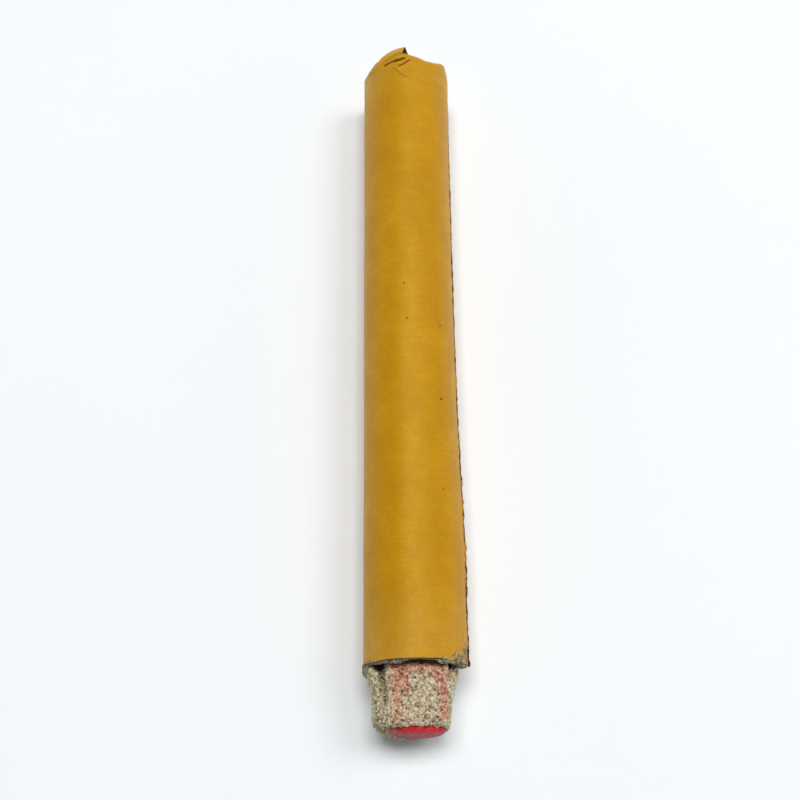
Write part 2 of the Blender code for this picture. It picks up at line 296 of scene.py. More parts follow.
class Nodes:
    """A short way to write a node tree."""

    def __init__(self, name):
        self.mat = bpy.data.materials.new(name)
        self.mat.use_nodes = True
        self.t = self.mat.node_tree
        self.bsdf = self.t.nodes["Principled BSDF"]
        self.coord = self.t.nodes.new("ShaderNodeTexCoord").outputs["Object"]

    def link(self, a, b):
        self.t.links.new(a, b)

    def put(self, socket, value):
        if isinstance(value, bpy.types.NodeSocket):
            self.link(value, socket)
        else:
            socket.default_value = value

    def set(self, **values):
        for key, value in values.items():
            self.put(self.bsdf.inputs[key.replace("_", " ")], value)

    def math(self, op, a, b=0.0, c=0.0, clamp=False):
        n = self.t.nodes.new("ShaderNodeMath")
        n.operation = op
        n.use_clamp = clamp
        self.put(n.inputs[0], a)
        self.put(n.inputs[1], b)
        self.put(n.inputs[2], c)
        return n.outputs[0]

    def scale(self, x=1.0, y=1.0, z=1.0, turn=(0, 0, 0), shift=(0, 0, 0)):
        n = self.t.nodes.new("ShaderNodeMapping")
        n.inputs["Scale"].default_value = (x, y, z)
        n.inputs["Rotation"].default_value = turn
        n.inputs["Location"].default_value = shift
        self.link(self.coord, n.inputs["Vector"])
        return n.outputs[0]

    def noise(self, scale, detail=3.0, rough=0.5, vector=None, distortion=0.0, color=False):
        n = self.t.nodes.new("ShaderNodeTexNoise")
        n.inputs["Scale"].default_value = scale
        n.inputs["Detail"].default_value = detail
        n.inputs["Roughness"].default_value = rough
        n.inputs["Distortion"].default_value = distortion
        self.link(vector or self.coord, n.inputs["Vector"])
        return n.outputs["Color" if color else "Fac"]

    def voronoi(self, scale, out="Distance", vector=None, feature="F1", randomness=1.0):
        n = self.t.nodes.new("ShaderNodeTexVoronoi")
        n.feature = feature
        n.inputs["Scale"].default_value = scale
        n.inputs["Randomness"].default_value = randomness
        self.link(vector or self.coord, n.inputs["Vector"])
        return n.outputs[out]

    def att(self, name):
        n = self.t.nodes.new("ShaderNodeAttribute")
        n.attribute_name = name
        return n.outputs["Fac"]

    def ramp(self, fac, stops, interpolation="LINEAR"):
        n = self.t.nodes.new("ShaderNodeValToRGB")
        n.color_ramp.interpolation = interpolation
        while len(n.color_ramp.elements) > 1:
            n.color_ramp.elements.remove(n.color_ramp.elements[-1])
        for i, (pos, col) in enumerate(stops):
            e = n.color_ramp.elements[0] if i == 0 else n.color_ramp.elements.new(pos)
            e.position = pos
            e.color = col if len(col) == 4 else (*col, 1.0)
        self.put(n.inputs["Fac"], fac)
        return n.outputs["Color"]

    def step(self, value, lo, hi):
        """0 below lo, 1 above hi (or the other way round)."""
        n = self.t.nodes.new("ShaderNodeMapRange")
        n.interpolation_type = "SMOOTHSTEP"
        n.clamp = True
        self.put(n.inputs["Value"], value)
        n.inputs["From Min"].default_value = min(lo, hi)
        n.inputs["From Max"].default_value = max(lo, hi)
        n.inputs["To Min"].default_value = 0.0 if lo < hi else 1.0
        n.inputs["To Max"].default_value = 1.0 if lo < hi else 0.0
        return n.outputs["Result"]

    def mix(self, fac, a, b, kind="MIX"):
        n = self.t.nodes.new("ShaderNodeMix")
        n.data_type = "RGBA"
        n.blend_type = kind
        n.clamp_factor = True
        self.put(n.inputs["Factor"], fac)
        self.put(n.inputs[6], a)
        self.put(n.inputs[7], b)
        return n.outputs[2]

    def bump(self, height, distance, strength=1.0, normal=None):
        n = self.t.nodes.new("ShaderNodeBump")
        n.inputs["Strength"].default_value = strength
        n.inputs["Distance"].default_value = distance
        self.link(height, n.inputs["Height"])
        if normal is not None:
            self.link(normal, n.inputs["Normal"])
        return n.outputs["Normal"]

    def near(self, point, radius, soft):
        """1 within radius (metres) of a point, falling off over soft."""
        n = self.t.nodes.new("ShaderNodeVectorMath")
        n.operation = "DISTANCE"
        self.link(self.coord, n.inputs[0])
        n.inputs[1].default_value = tuple(point)
        return self.step(n.outputs["Value"], radius + soft, radius - soft)


# ---------------------------------------------------------------- the wrapper: one sheet, rolled and lapped, folded in at the tail
PLY = 0.14                      # one ply of kraft
SKIN = 11.0                     # outside of the ply below
EDGE = 446.5                    # the free edge of the outer ply, past one full turn
CORNERS = (-95.0, -3.0, 65.0, 140.0, 207.0)   # where the tail's five flaps meet


def wrap_deg(deg):
    return (np.asarray(deg) + 180.0) % 360.0 - 180.0


def side_gain(y):
    """How far the lapped side stands beyond the plain tube."""
    grid = np.arange(-8, 162, 0.5)
    v = table(grid, [(-5, 1.12), (5, 1.12), (14, 0.96), (20, 1.08), (25, 1.06), (37, 0.74), (49, 0.49), (61, 0.24), (74, 0.15), (88, 0.06), (102, 0.06), (116, 0.15), (128, 0.19), (141, 0.44), (150, 0.52), (160, 0.5)])
    k = np.exp(-0.5 * (np.arange(-12, 13) * 0.5 / 2.2) ** 2)
    v = np.convolve(np.pad(v, 12, "edge"), k / k.sum(), "valid")
    return np.interp(y, grid, v)


def flare_out(y):
    """How far the free edge curls away."""
    p = np.stack([np.zeros_like(y), y, np.zeros_like(y)], -1)
    rough = 0.10 + 0.05 * vnoise(p, 7.0, 5) + 0.035 * vnoise(p, 1.6, 6)
    torn = band(y, 15.0, 44.0, 6.0)
    rough = rough + torn * (0.07 + 0.09 * np.clip(vnoise(p, 2.3, 8), 0, 1) + 0.07 * vnoise(p, 0.9, 9))
    rough = rough + 0.20 * np.exp(-(((y - 19.8) / 0.9) ** 2))
    return np.clip(rough * table(y, [(0, 1.3), (12, 1.0), (110, 0.9), (126, 0.45), (136, 0.1), (160, 0.0)]), 0.0, None)


def lap_gap(y):
    """How far the outer ply stands off the one below."""
    need = side_gain(y) - PLY - 0.34
    return np.maximum(need, 0) * ease((60 - y) / 28.0)


def base_radius(deg, y):
    a = deg * RAD
    need = side_gain(y) - PLY - 0.34 - lap_gap(y)
    side = np.exp(-((wrap_deg(deg - 88) / 34.0) ** 2))
    p = np.stack([SKIN * np.sin(a), y, SKIN * np.cos(a)], -1)
    waves = 0.05 * vnoise(p * [1, 0.35, 1], 9.0, 21) + 0.022 * vnoise(p * [1, 0.6, 1], 3.0, 22) + 0.008 * vnoise(p, 1.1, 23)
    under = 1 - 0.75 * np.exp(-((wrap_deg(deg - 180) / 30.0) ** 2))      # flatter where it lies
    return SKIN - PLY / 2 + need * side + waves * under


TAIL_T = [(-95, 153.5), (-85, 153.05), (-75, 152.75), (-66, 152.45), (-60, 152.0), (-45, 151.7), (-30, 152.6), (-15, 153.1), (-3, 153.3), (8, 153.0), (15, 152.7), (30, 152.15), (45, 152.6), (58, 153.8), (70, 154.4), (90, 154.0), (110, 152.6), (130, 153.3), (140, 154.0), (160, 152.6), (180, 152.3), (198, 153.4), (207, 153.9), (230, 152.5), (247, 152.4)]
TAIL_ROUND = [(-95, 0.8), (-80, 0.8), (-72, 1.1), (-60, 2.1), (-45, 2.2), (-30, 1.7), (-15, 1.2), (-3, 0.9), (8, 1.1), (15, 1.5), (30, 2.0), (45, 1.7), (60, 1.0), (70, 0.8), (90, 1.2), (110, 2.0), (130, 1.1), (140, 0.8), (160, 1.8), (180, 2.2), (200, 1.0), (207, 0.8), (230, 2.0), (247, 1.9)]


def tail_shape(deg):
    """Where the folded tail ends, and how round its shoulder is, at each angle."""
    rho = around(deg, TAIL_ROUND, 3.5)
    c = np.clip(np.cos(deg * RAD), 0, 1)
    k = (0.781 + 0.624 * c - np.sqrt(0.61 + 0.389 * c * c)) / 0.781
    return around(deg, TAIL_T, 2.6) + k * rho, rho


def flap_height(deg, share):
    """The five flaps lie over each other like the blades of a shutter, each standing on the next, with a line of
    painted shade along each flap's edges.
    """
    turn = wrap_deg(deg + 34.0 * (1 - share))
    out = np.zeros_like(turn)
    edge = np.zeros_like(turn)
    corners = sorted(CORNERS)
    for k, c0 in enumerate(corners):
        c1 = corners[(k + 1) % 5] + (360 if k == 4 else 0)
        f = ((turn - c0) % 360.0) / (c1 - c0)
        inside = (f >= 0) & (f < 1)
        out = np.where(inside, 0.36 * np.clip(1 - f, 0, 1) ** 1.3, out)
        edge = np.where(inside, np.exp(-((f * (c1 - c0) / 2.2) ** 2)) + np.exp(-(((1 - f) * (c1 - c0) / 1.6) ** 2)), edge)
    fade = ease((0.93 - share) / 0.10) * ease((share - 0.06) / 0.16)
    return out * fade, edge * fade


CREASES = [   # (surface distance from the top line, station), width, depth, darkness of the painted shade along the fold
    ([(-3.1, 151.45), (-2.4, 151.6), (-1.34, 151.72), (-0.4, 152.0), (0.3, 152.3)], 0.3, 0.26, 1.0),
    ([(-6.14, 150.70), (-5.18, 150.95), (-4.32, 151.15), (-3.6, 151.35), (-2.7, 151.5), (-1.8, 151.3)], 0.22, 0.26, 1.0),
    ([(-2.11, 149.9), (-1.34, 149.85), (-0.48, 150.25), (0.48, 151.0), (1.54, 151.8)], 0.17, 0.17, 1.0),
    ([(-3.74, 150.05), (-2.98, 149.1), (-1.92, 147.9), (-0.86, 146.85), (0.1, 146.15), (1.82, 145.7)], 0.11, 0.07, 0.55),
    ([(-5.66, 149.7), (-5.57, 148.95)], 0.14, 0.05, 0.35),
    ([(11.9, 152.6), (11.0, 150.6), (10.4, 149.2)], 0.2, 0.05, 0.15),
    ([(-10.4, 147.0), (-9.0, 149.2), (-8.2, 151.0)], 0.5, 0.05, 0.06),
]


def crease_depth(s, y):
    """Pressed-in folds near the tail, as (height, painted shade along the folds)."""
    p = np.stack([s, y], -1)
    depth, dark = np.zeros_like(s), np.zeros_like(s)
    wobble = np.stack([vnoise(np.stack([s, y, 0 * s], -1), 0.7, 31), vnoise(np.stack([s, y, 0 * s], -1), 0.7, 32)], -1) * 0.07
    for line, width, deep, darkness in CREASES:
        d, side, along = to_polyline(p + wobble, line)
        taper = ease(along / 0.12) * ease((1 - along) / 0.2)
        groove = np.exp(-((d / width) ** 2)) * taper
        lip = np.exp(-(((d - 2.2 * width) / (1.6 * width)) ** 2)) * taper
        depth = depth - deep * groove + 0.35 * deep * lip
        dark = np.maximum(dark, darkness * np.exp(-((d / (width * 1.05)) ** 2)) * taper)
    # the small flap that lies to the right of the fourth crease
    d, side, along = to_polyline(p + wobble, CREASES[3][0])
    depth = depth + 0.10 * (side > 0) * np.exp(-d / 4.0) * band(y, 145.6, 151.6, 1.2) * ease((along - 0.02) / 0.1) * (s > -4.0) * (s < 8)
    return depth, dark


EAR = [(-9.08, 150.91, 5.6, 0.55), (-8.11, 151.07, 6.9, 0.8), (-6.62, 152.02, 8.2, 0.96), (-5.02, 153.12, 9.1, 1.06), (-3.44, 153.89, 9.6, 1.08), (-1.86, 154.43, 9.95, 1.1), (0.13, 154.71, 10.15, 1.12)]     # (x, y, z, radius)


def make_wrapper():
    col = np.concatenate([
        np.arange(46, 86, 2.0), np.arange(86, 96, 1.25), np.arange(96, 320, 2.0), np.arange(320, 390, 0.8),
        np.arange(390, 438, 1.5), np.arange(438, EDGE - 0.05, 0.34), [EDGE],
    ])
    rows_y = np.concatenate([np.arange(0, 4, 0.2), np.arange(4, 50, 0.5), np.arange(50, 144, 0.6)])
    n_body = len(rows_y)
    n_up, n_arc, n_in = 62, 18, 46
    rows = n_body + n_up + n_arc + n_in
    deg0 = np.broadcast_to(col, (rows, len(col))).copy()
    # the free edge wanders a little
    row_y = np.concatenate([rows_y, np.linspace(144, 154, n_up + n_arc + n_in)])
    py = np.stack([0 * row_y, row_y, 0 * row_y], -1)
    wander = 0.7 * vnoise(py, 14.0, 2) + 0.28 * vnoise(py, 2.2, 3) + 0.22 * vnoise(py, 0.8, 4)
    wander = wander * table(row_y, [(0, 1.2), (50, 1.0), (140, 0.6), (154, 0.2)])
    deg = deg0 + wander[:, None] * ease((deg0 - 436) / 10.0)
    a = deg * RAD
    end, rho = tail_shape(deg[0])
    end_r, rho_r = np.broadcast_to(end, deg.shape), np.broadcast_to(rho, deg.shape)

    # front edge of the sheet, as it was cut and torn
    front = around(deg[0], [(-100, 0.0), (-75, -0.05), (-60, -0.36), (-45, -0.12), (-30, 0.12), (-10, 0.14), (20, 0.20), (34, 0.12), (42, -0.02), (50, -0.22), (58, -0.18), (66, -0.42), (76, -0.62), (86, -0.70), (100, -0.1), (140, 0.1), (200, -0.12), (240, 0.05)], 2.5)
    corner = (deg[0] > 420) * ease((deg[0] - 436) / 9)
    front = front - 0.12 * corner
    ring = np.stack([SKIN * np.sin(a[0]), 0 * a[0], SKIN * np.cos(a[0])], -1)
    front = front + 0.07 * vnoise(ring, 1.6, 41) + 0.045 * vnoise(ring, 0.5, 42) + 0.02 * vnoise(ring, 0.2, 43)

    y = np.zeros(deg.shape)
    r = np.zeros(deg.shape)
    y[:n_body] = rows_y[:, None]
    r[:n_body] = base_radius(deg[:n_body], y[:n_body])
    y[:n_body] += front[None] * (1 - ease(rows_y / 4.0))[:, None]
    shoulder = base_radius(deg[0], np.full(len(col), 150.0))
    for i in range(n_up):
        t = i / n_up
        yy = 144 + (end - rho - 144) * t
        y[n_body + i] = yy
        r[n_body + i] = base_radius(deg[0], yy) * (1 - ease(t)) + shoulder * ease(t)
    for i in range(n_arc):
        t = i / n_arc * math.pi / 2
        y[n_body + n_up + i] = end - rho + rho * math.sin(t)
        r[n_body + n_up + i] = shoulder - rho + rho * math.cos(t)
    for i in range(n_in):
        t = (i / (n_in - 1)) ** 0.9
        rr = (shoulder - rho) * (1 - t) + 0.32 * t
        w = (rr / (shoulder - rho)) ** 0.9
        y[n_body + n_up + n_arc + i] = end * w + (152.25 + 0.25 * np.cos(a[0] - 0.7)) * (1 - w)
        r[n_body + n_up + n_arc + i] = rr
    share = r / SKIN
    smooth_mid = np.stack([r * np.sin(a), y, r * np.cos(a)], -1)
    # the middle of the tail isn't quite in the middle
    pull = ease((0.9 - share) / 0.9)[..., None]
    smooth_mid = smooth_mid + pull * np.array([-0.5, 0, 0.7])
    normal = grid_normals(smooth_mid, False)
    if (normal[20, 100] @ np.array([math.sin(a[20, 100]), 0, math.cos(a[20, 100])])) < 0:
        normal = -normal

    tail = ease((y - 143.0) / 4.0)
    lift, flap_edge_shade = flap_height(deg, share)
    on_end = np.zeros(deg.shape)
    on_end[n_body + n_up:] = 1
    lift, flap_edge_shade = lift * on_end, flap_edge_shade * on_end
    # the corners between the flaps are pinched up
    pinch = np.zeros(deg.shape)
    for c in CORNERS:
        dd = wrap_deg(deg - c)
        pinch += np.exp(-((dd / 6.0) ** 2)) * (0.34 if c != -3.0 else 0.1)
    pinch *= ease((y - 151.5) / 1.5) * ease((share - 0.55) / 0.3)
    wrinkle = 0.10 * vnoise(np.stack([np.sin(a) * 7, share * 2, np.cos(a) * 7], -1), 1.0, 51) * ease((0.9 - share) / 0.4) * on_end
    s = wrap_deg(deg) * RAD * SKIN
    along = np.where(on_end > 0, 152.5 + (SKIN - r), y)
    crease, crease_shade = crease_depth(s, along)
    crease, crease_shade = crease * tail, crease_shade * tail
    crumple = tail * (0.09 * vnoise(smooth_mid, 2.4, 61) + 0.05 * (np.abs(vnoise(smooth_mid, 1.5, 62)) * -1 + 0.3) + 0.02 * vnoise(smooth_mid, 0.6, 63))

    # outer ply over the lap
    y_of = np.minimum(y, 154.0)
    climb = ease((deg0 - 391.0) / 15.0)
    stand = lap_gap(y_of) * ease((deg0 - 394.0) / 50.0) ** 1.25
    curl = flare_out(y_of) * ease((deg0 - 440.5) / (EDGE - 440.5)) ** 1.4
    curl = curl + 0.10 * ease((2.6 - y_of) / 3.0) * ease((deg0 - 432) / 14) * (deg0 > 420)
    ragged = vnoise(np.stack([0 * y, y, 0 * y + 3.0], -1), 1.1, 11) * 0.09 + vnoise(np.stack([0 * y, y, 0 * y + 9.0], -1), 0.45, 12) * 0.05
    lip = (0.26 + ragged) * table(y_of, [(0, 1.0), (110, 1.0), (130, 0.75), (142, 0.3), (150, 0.0)])
    curl = curl + lip * ease((deg0 - (EDGE - 3.6)) / 3.6) ** 1.2
    offset = (PLY + 0.01) * climb + stand + curl * (deg0 > 420)

    # grit and paste smeared on the paper beside the mouth
    body_p = smooth_mid
    reach = around(deg, [(-100, 0.5), (-60, 0.25), (-20, 0.1), (26, 0.0), (36, 0.7), (44, 1.3), (52, 2.1), (61, 2.9), (72, 3.5), (82, 4.0), (92, 3.8), (110, 1.2), (180, 0.6)], 3.0)
    smear = ease((reach + 1.0 * vnoise(body_p, 1.6, 71) + 0.35 * vnoise(body_p, 0.5, 72) - y + 0.6) / 1.8) * (deg0 > 100)
    f1, f2, who = cells(body_p, 0.42, 73)
    paste = smear * ease((1.6 - y) / 1.2) * np.clip(0.16 - 0.22 * f1, 0, 1) * (0.4 + who)

    # the left shoulder swells into the rolled fold
    roll = np.array(ear_line())
    gap = np.full(deg.shape, 99.0)
    for k in range(len(roll)):
        reach_k = np.linalg.norm(smooth_mid - roll[k, :3], axis=-1) - roll[k, 3]
        gap = np.minimum(gap, reach_k)
    swell = 0.5 * (0.14 - gap + np.sqrt((0.14 - gap) ** 2 + 0.16)) * ease((-smooth_mid[..., 0] - 5.5) / 1.5) * ease((1.6 - gap) / 1.0)
    swell = swell * ease((y - 146.5) / 3.0)
    # and the end flap runs up into it from behind
    behind = 0.5 * (0.05 - gap + np.sqrt((0.05 - gap) ** 2 + 0.40)) * ease((-0.9 - smooth_mid[..., 0]) / 1.4) * ease((2.4 - gap) / 1.6)
    swell = np.maximum(swell, np.clip(behind, 0, 1.6) * on_end * ease((0.955 - share) / 0.06))

    mid = smooth_mid + normal * (offset + crease + crumple + paste + swell)[..., None]
    mid[..., 1] += lift + pinch * 0.8 + wrinkle
    mid += normal * (pinch * 0.25)[..., None]

    # darkness of raw edges, partly painted shadow: the ragged dark band along the outer ply's free edge stands in for
    # its cut face and the shadow gap under it
    into = 2.5 + 1.1 * vnoise(np.stack([0 * y, y, 0 * y], -1), 1.3, 13) + 0.8 * vnoise(np.stack([0 * y, y, 0 * y + 5.0], -1), 0.5, 14)
    into = into + 2.2 * ease((5.0 - y) / 4.0)
    edge_w = ease((deg0 - (EDGE - into)) / 0.9)
    p_edge = np.stack([0 * y, y, deg0 * 0.19], -1)
    edge_dark_and_shadow = edge_w * table(y, [(0, 1.0), (60, 0.92), (120, 0.85), (138, 0.7), (146, 0.3)])
    flecks = band(y, 13.0, 46.0, 4.0) * ease((EDGE - 4.0 - deg0) / -2.0) * (vnoise(p_edge, 0.8, 81) > 0.15)
    edge_dark_and_shadow = np.maximum(edge_dark_and_shadow, 0.85 * flecks * (deg0 > 430))
    # painted shadow: the outer ply's corner by the mouth is painted dark where the standing flap shades it
    edge_dark_and_shadow = np.maximum(edge_dark_and_shadow, ease((2.6 - y) / 1.8) * ease((deg0 - 438) / 5) * (deg0 > 420))
    cut = ease((0.22 - (y - front[None])) / 0.2) * (np.arange(rows)[:, None] < 12)
    attributes = {
        "edge": np.clip(np.maximum(edge_dark_and_shadow, 0.30 * cut), 0, 1),
        # painted shade in the folds and along the flap edges of the tail
        "crease": np.clip(np.maximum(crease_shade, 0.5 * flap_edge_shade), 0, 1),
        "smear": np.clip(smear, 0, 1),
        "dusty": ease((20.0 - y) / 18.0),
        # painted light: paler towards the tail, most on its left shoulder
        "tail": ease((y - 140.0) / 12.0) * (0.25 + 0.75 * ease((-wrap_deg(deg) - 15.0) / 35.0)),
    }
    return sheet_mesh("wrapper_paper", mid, normal, PLY, attributes, 50)


def catmull(points, count):
    p = np.asarray(points, float)
    p = np.vstack([2 * p[0] - p[1], p, 2 * p[-1] - p[-2]])
    seg = len(p) - 3
    out = []
    for t in np.linspace(0, seg, count):
        k = min(int(t), seg - 1)
        u = t - k
        a, b, c, d = p[k:k + 4]
        out.append(0.5 * ((2 * b) + (c - a) * u + (2 * a - 5 * b + 4 * c - d) * u * u + (3 * b - a - 3 * c + d) * u**3))
    return np.array(out)


def ear_line():
    """Axis and radius of the rolled fold."""
    return catmull(EAR, 60)


def make_ear():
    """The twisted end of the fold: a small roll of paper, open at its right-hand end."""
    line = ear_line()
    centre, radius = line[:, :3], line[:, 3]
    tangent = np.gradient(centre, axis=0)
    tangent /= np.linalg.norm(tangent, axis=1, keepdims=True)
    eye = np.array([0.0, -0.624, 0.781])             # towards the viewer, so that the cut shows the inside
    turns = np.linspace(-35, 395, 110)
    rows = []
    for k in range(len(centre)):
        t = tangent[k]
        u = eye - (eye @ t) * t
        u /= np.linalg.norm(u)
        v = np.cross(t, u)
        ang = (turns + 150) * RAD
        rr = radius[k] * (1.0 + 0.10 * (turns / 360.0)) * (1 + 0.08 * np.cos(2 * ang + 0.6))
        ring = centre[k] + (rr * np.cos(ang))[:, None] * u + (rr * np.sin(ang))[:, None] * v
        last = ease((k - 30) / 29.0)
        ring = ring + (last * around(turns + 150, [(0, -0.72), (45, -0.82), (82, -0.74), (102, 0.30), (132, 0.62), (180, 0.36), (225, 0.2), (270, 0.15), (315, -0.25)], 5.0))[:, None] * t
        rows.append(ring)
    mid = np.array(rows)
    mid = mid + 0.06 * np.stack([vnoise(mid, 0.9, 91), vnoise(mid, 0.9, 92), vnoise(mid, 0.9, 93)], -1)
    # normals that point out of the roll, and the strip where it lies on the tail underneath
    normal = grid_normals(mid, False)
    out = mid - centre[:, None, :]
    if (normal * out).sum() < 0:
        normal = -normal
    k = np.linspace(0, 1, len(centre))[:, None] * np.ones(110)
    rim = ease((k - 0.975) / 0.02)
    # painted shade: the strip where the roll lies on the tail is darkened through its crease attribute
    under = np.exp(-(((turns - 318.0) / 26.0) ** 2)) + np.exp(-(((turns + 42.0) / 26.0) ** 2))
    seam = under[None, :] * ease((k - 0.36) / 0.12) * (0.6 + 0.4 * ease((vnoise(mid, 0.8, 94) + 0.3) / 0.4))
    # painted light: the roll takes the tail's paler colour in full
    attributes = {"edge": 0.5 * rim, "crease": np.clip(seam, 0, 1) * 0.85, "smear": 0 * k, "dusty": 0.5 + 0 * k, "tail": 1.6 + 0 * k}
    obj = sheet_mesh("tail_ear", mid, normal, PLY, attributes, 50)
    # the inside of the roll is painted dark brown, as painted shade in the roll's hollow
    n = mid.shape[0] * mid.shape[1]
    inner = np.zeros(2 * n, np.float32)
    co = np.zeros(len(obj.data.vertices) * 3, np.float32)
    obj.data.vertices.foreach_get("co", co)
    inner[n:] = 1.0
    att = obj.data.attributes.new("inside", "FLOAT", "POINT")
    att.data.foreach_set("value", inner)
    return obj


# ---------------------------------------------------------------- the casing tube, wound from grey board
def ring_surface(name, loop, cols, bump=None, attributes=None, sharp=40):
    """A turned ring from a closed loop of (radius, station), with bump(points, loop index) added to its (radius, station)."""
    loop = np.asarray(loop, float)
    a = np.arange(cols) / cols * 2 * math.pi
    r = np.broadcast_to(loop[:, 0][:, None], (len(loop), cols)).copy()
    y = np.broadcast_to(loop[:, 1][:, None], (len(loop), cols)).copy()
    p = np.stack([r * np.sin(a), y, r * np.cos(a)], -1)
    if bump is not None:
        dr, dy = bump(p, r, y, a)
        r, y = r + dr, y + dy
    p = np.stack([r * np.sin(a), y, r * np.cos(a)], -1)
    n = len(loop)
    i, j = np.meshgrid(np.arange(n), np.arange(cols), indexing="ij")
    f = np.stack([i * cols + j, i * cols + (j + 1) % cols, ((i + 1) % n) * cols + (j + 1) % cols, ((i + 1) % n) * cols + j], -1).reshape(-1, 4)
    attrs = attributes(p, r, y, a) if attributes else {}
    return make_mesh(name, p.reshape(-1, 3), f, attrs, sharp)


def make_casing():
    inner, outer = 9.36, 10.57
    loop = [(outer, 149.9), (outer, 100), (outer, 50), (outer, 8), (outer, 2), (outer, 0.3), (outer - 0.04, 0.08)]
    loop += [(r, 0.0) for r in np.linspace(outer - 0.1, inner + 0.1, 34)]
    loop += [(inner + 0.03, 0.1)]
    loop += [(inner, y) for y in np.linspace(0.35, 16, 40)]
    loop += [(inner, 60), (inner, 110), (inner, 149.9)]

    def bump(p, r, y, a):
        face = (y < 0.06) & (r < outer - 0.06) & (r > inner + 0.06)
        turn = (r - inner) / 0.2 + a / (2 * math.pi)              # the board is wound in a spiral
        seam = np.abs((turn + 0.5) % 1.0 - 0.5)
        groove = np.exp(-((seam / 0.13) ** 2)) * 0.09
        frays = 0.07 * vnoise(p, 0.5, 101) + 0.05 * vnoise(p, 0.2, 102)
        dy = np.where(face, groove + frays, 0.0) + (y < 3) * 0.03 * vnoise(p, 1.4, 103)
        wall = ((r < inner + 0.02) & (y > 0.2) & (y < 16)) * 1.0
        dr = wall * (0.03 * vnoise(p, 0.8, 104) + 0.02 * vnoise(p, 0.25, 105) - 0.0)
        return dr, dy

    def attributes(p, r, y, a):
        turn = (r - inner) / 0.2 + a / (2 * math.pi)
        seam = np.exp(-((np.abs((turn + 0.5) % 1.0 - 0.5) / 0.16) ** 2)) * (np.abs(y) < 0.4)
        # painted shade: darker towards the mouth and on the casing's end
        mouth_shade = ease((14.0 - y) / 13.0) * 0.6
        return {"seam": seam, "mouth_shade": mouth_shade}

    return ring_surface("casing_board", loop, 360, bump, attributes, 60)


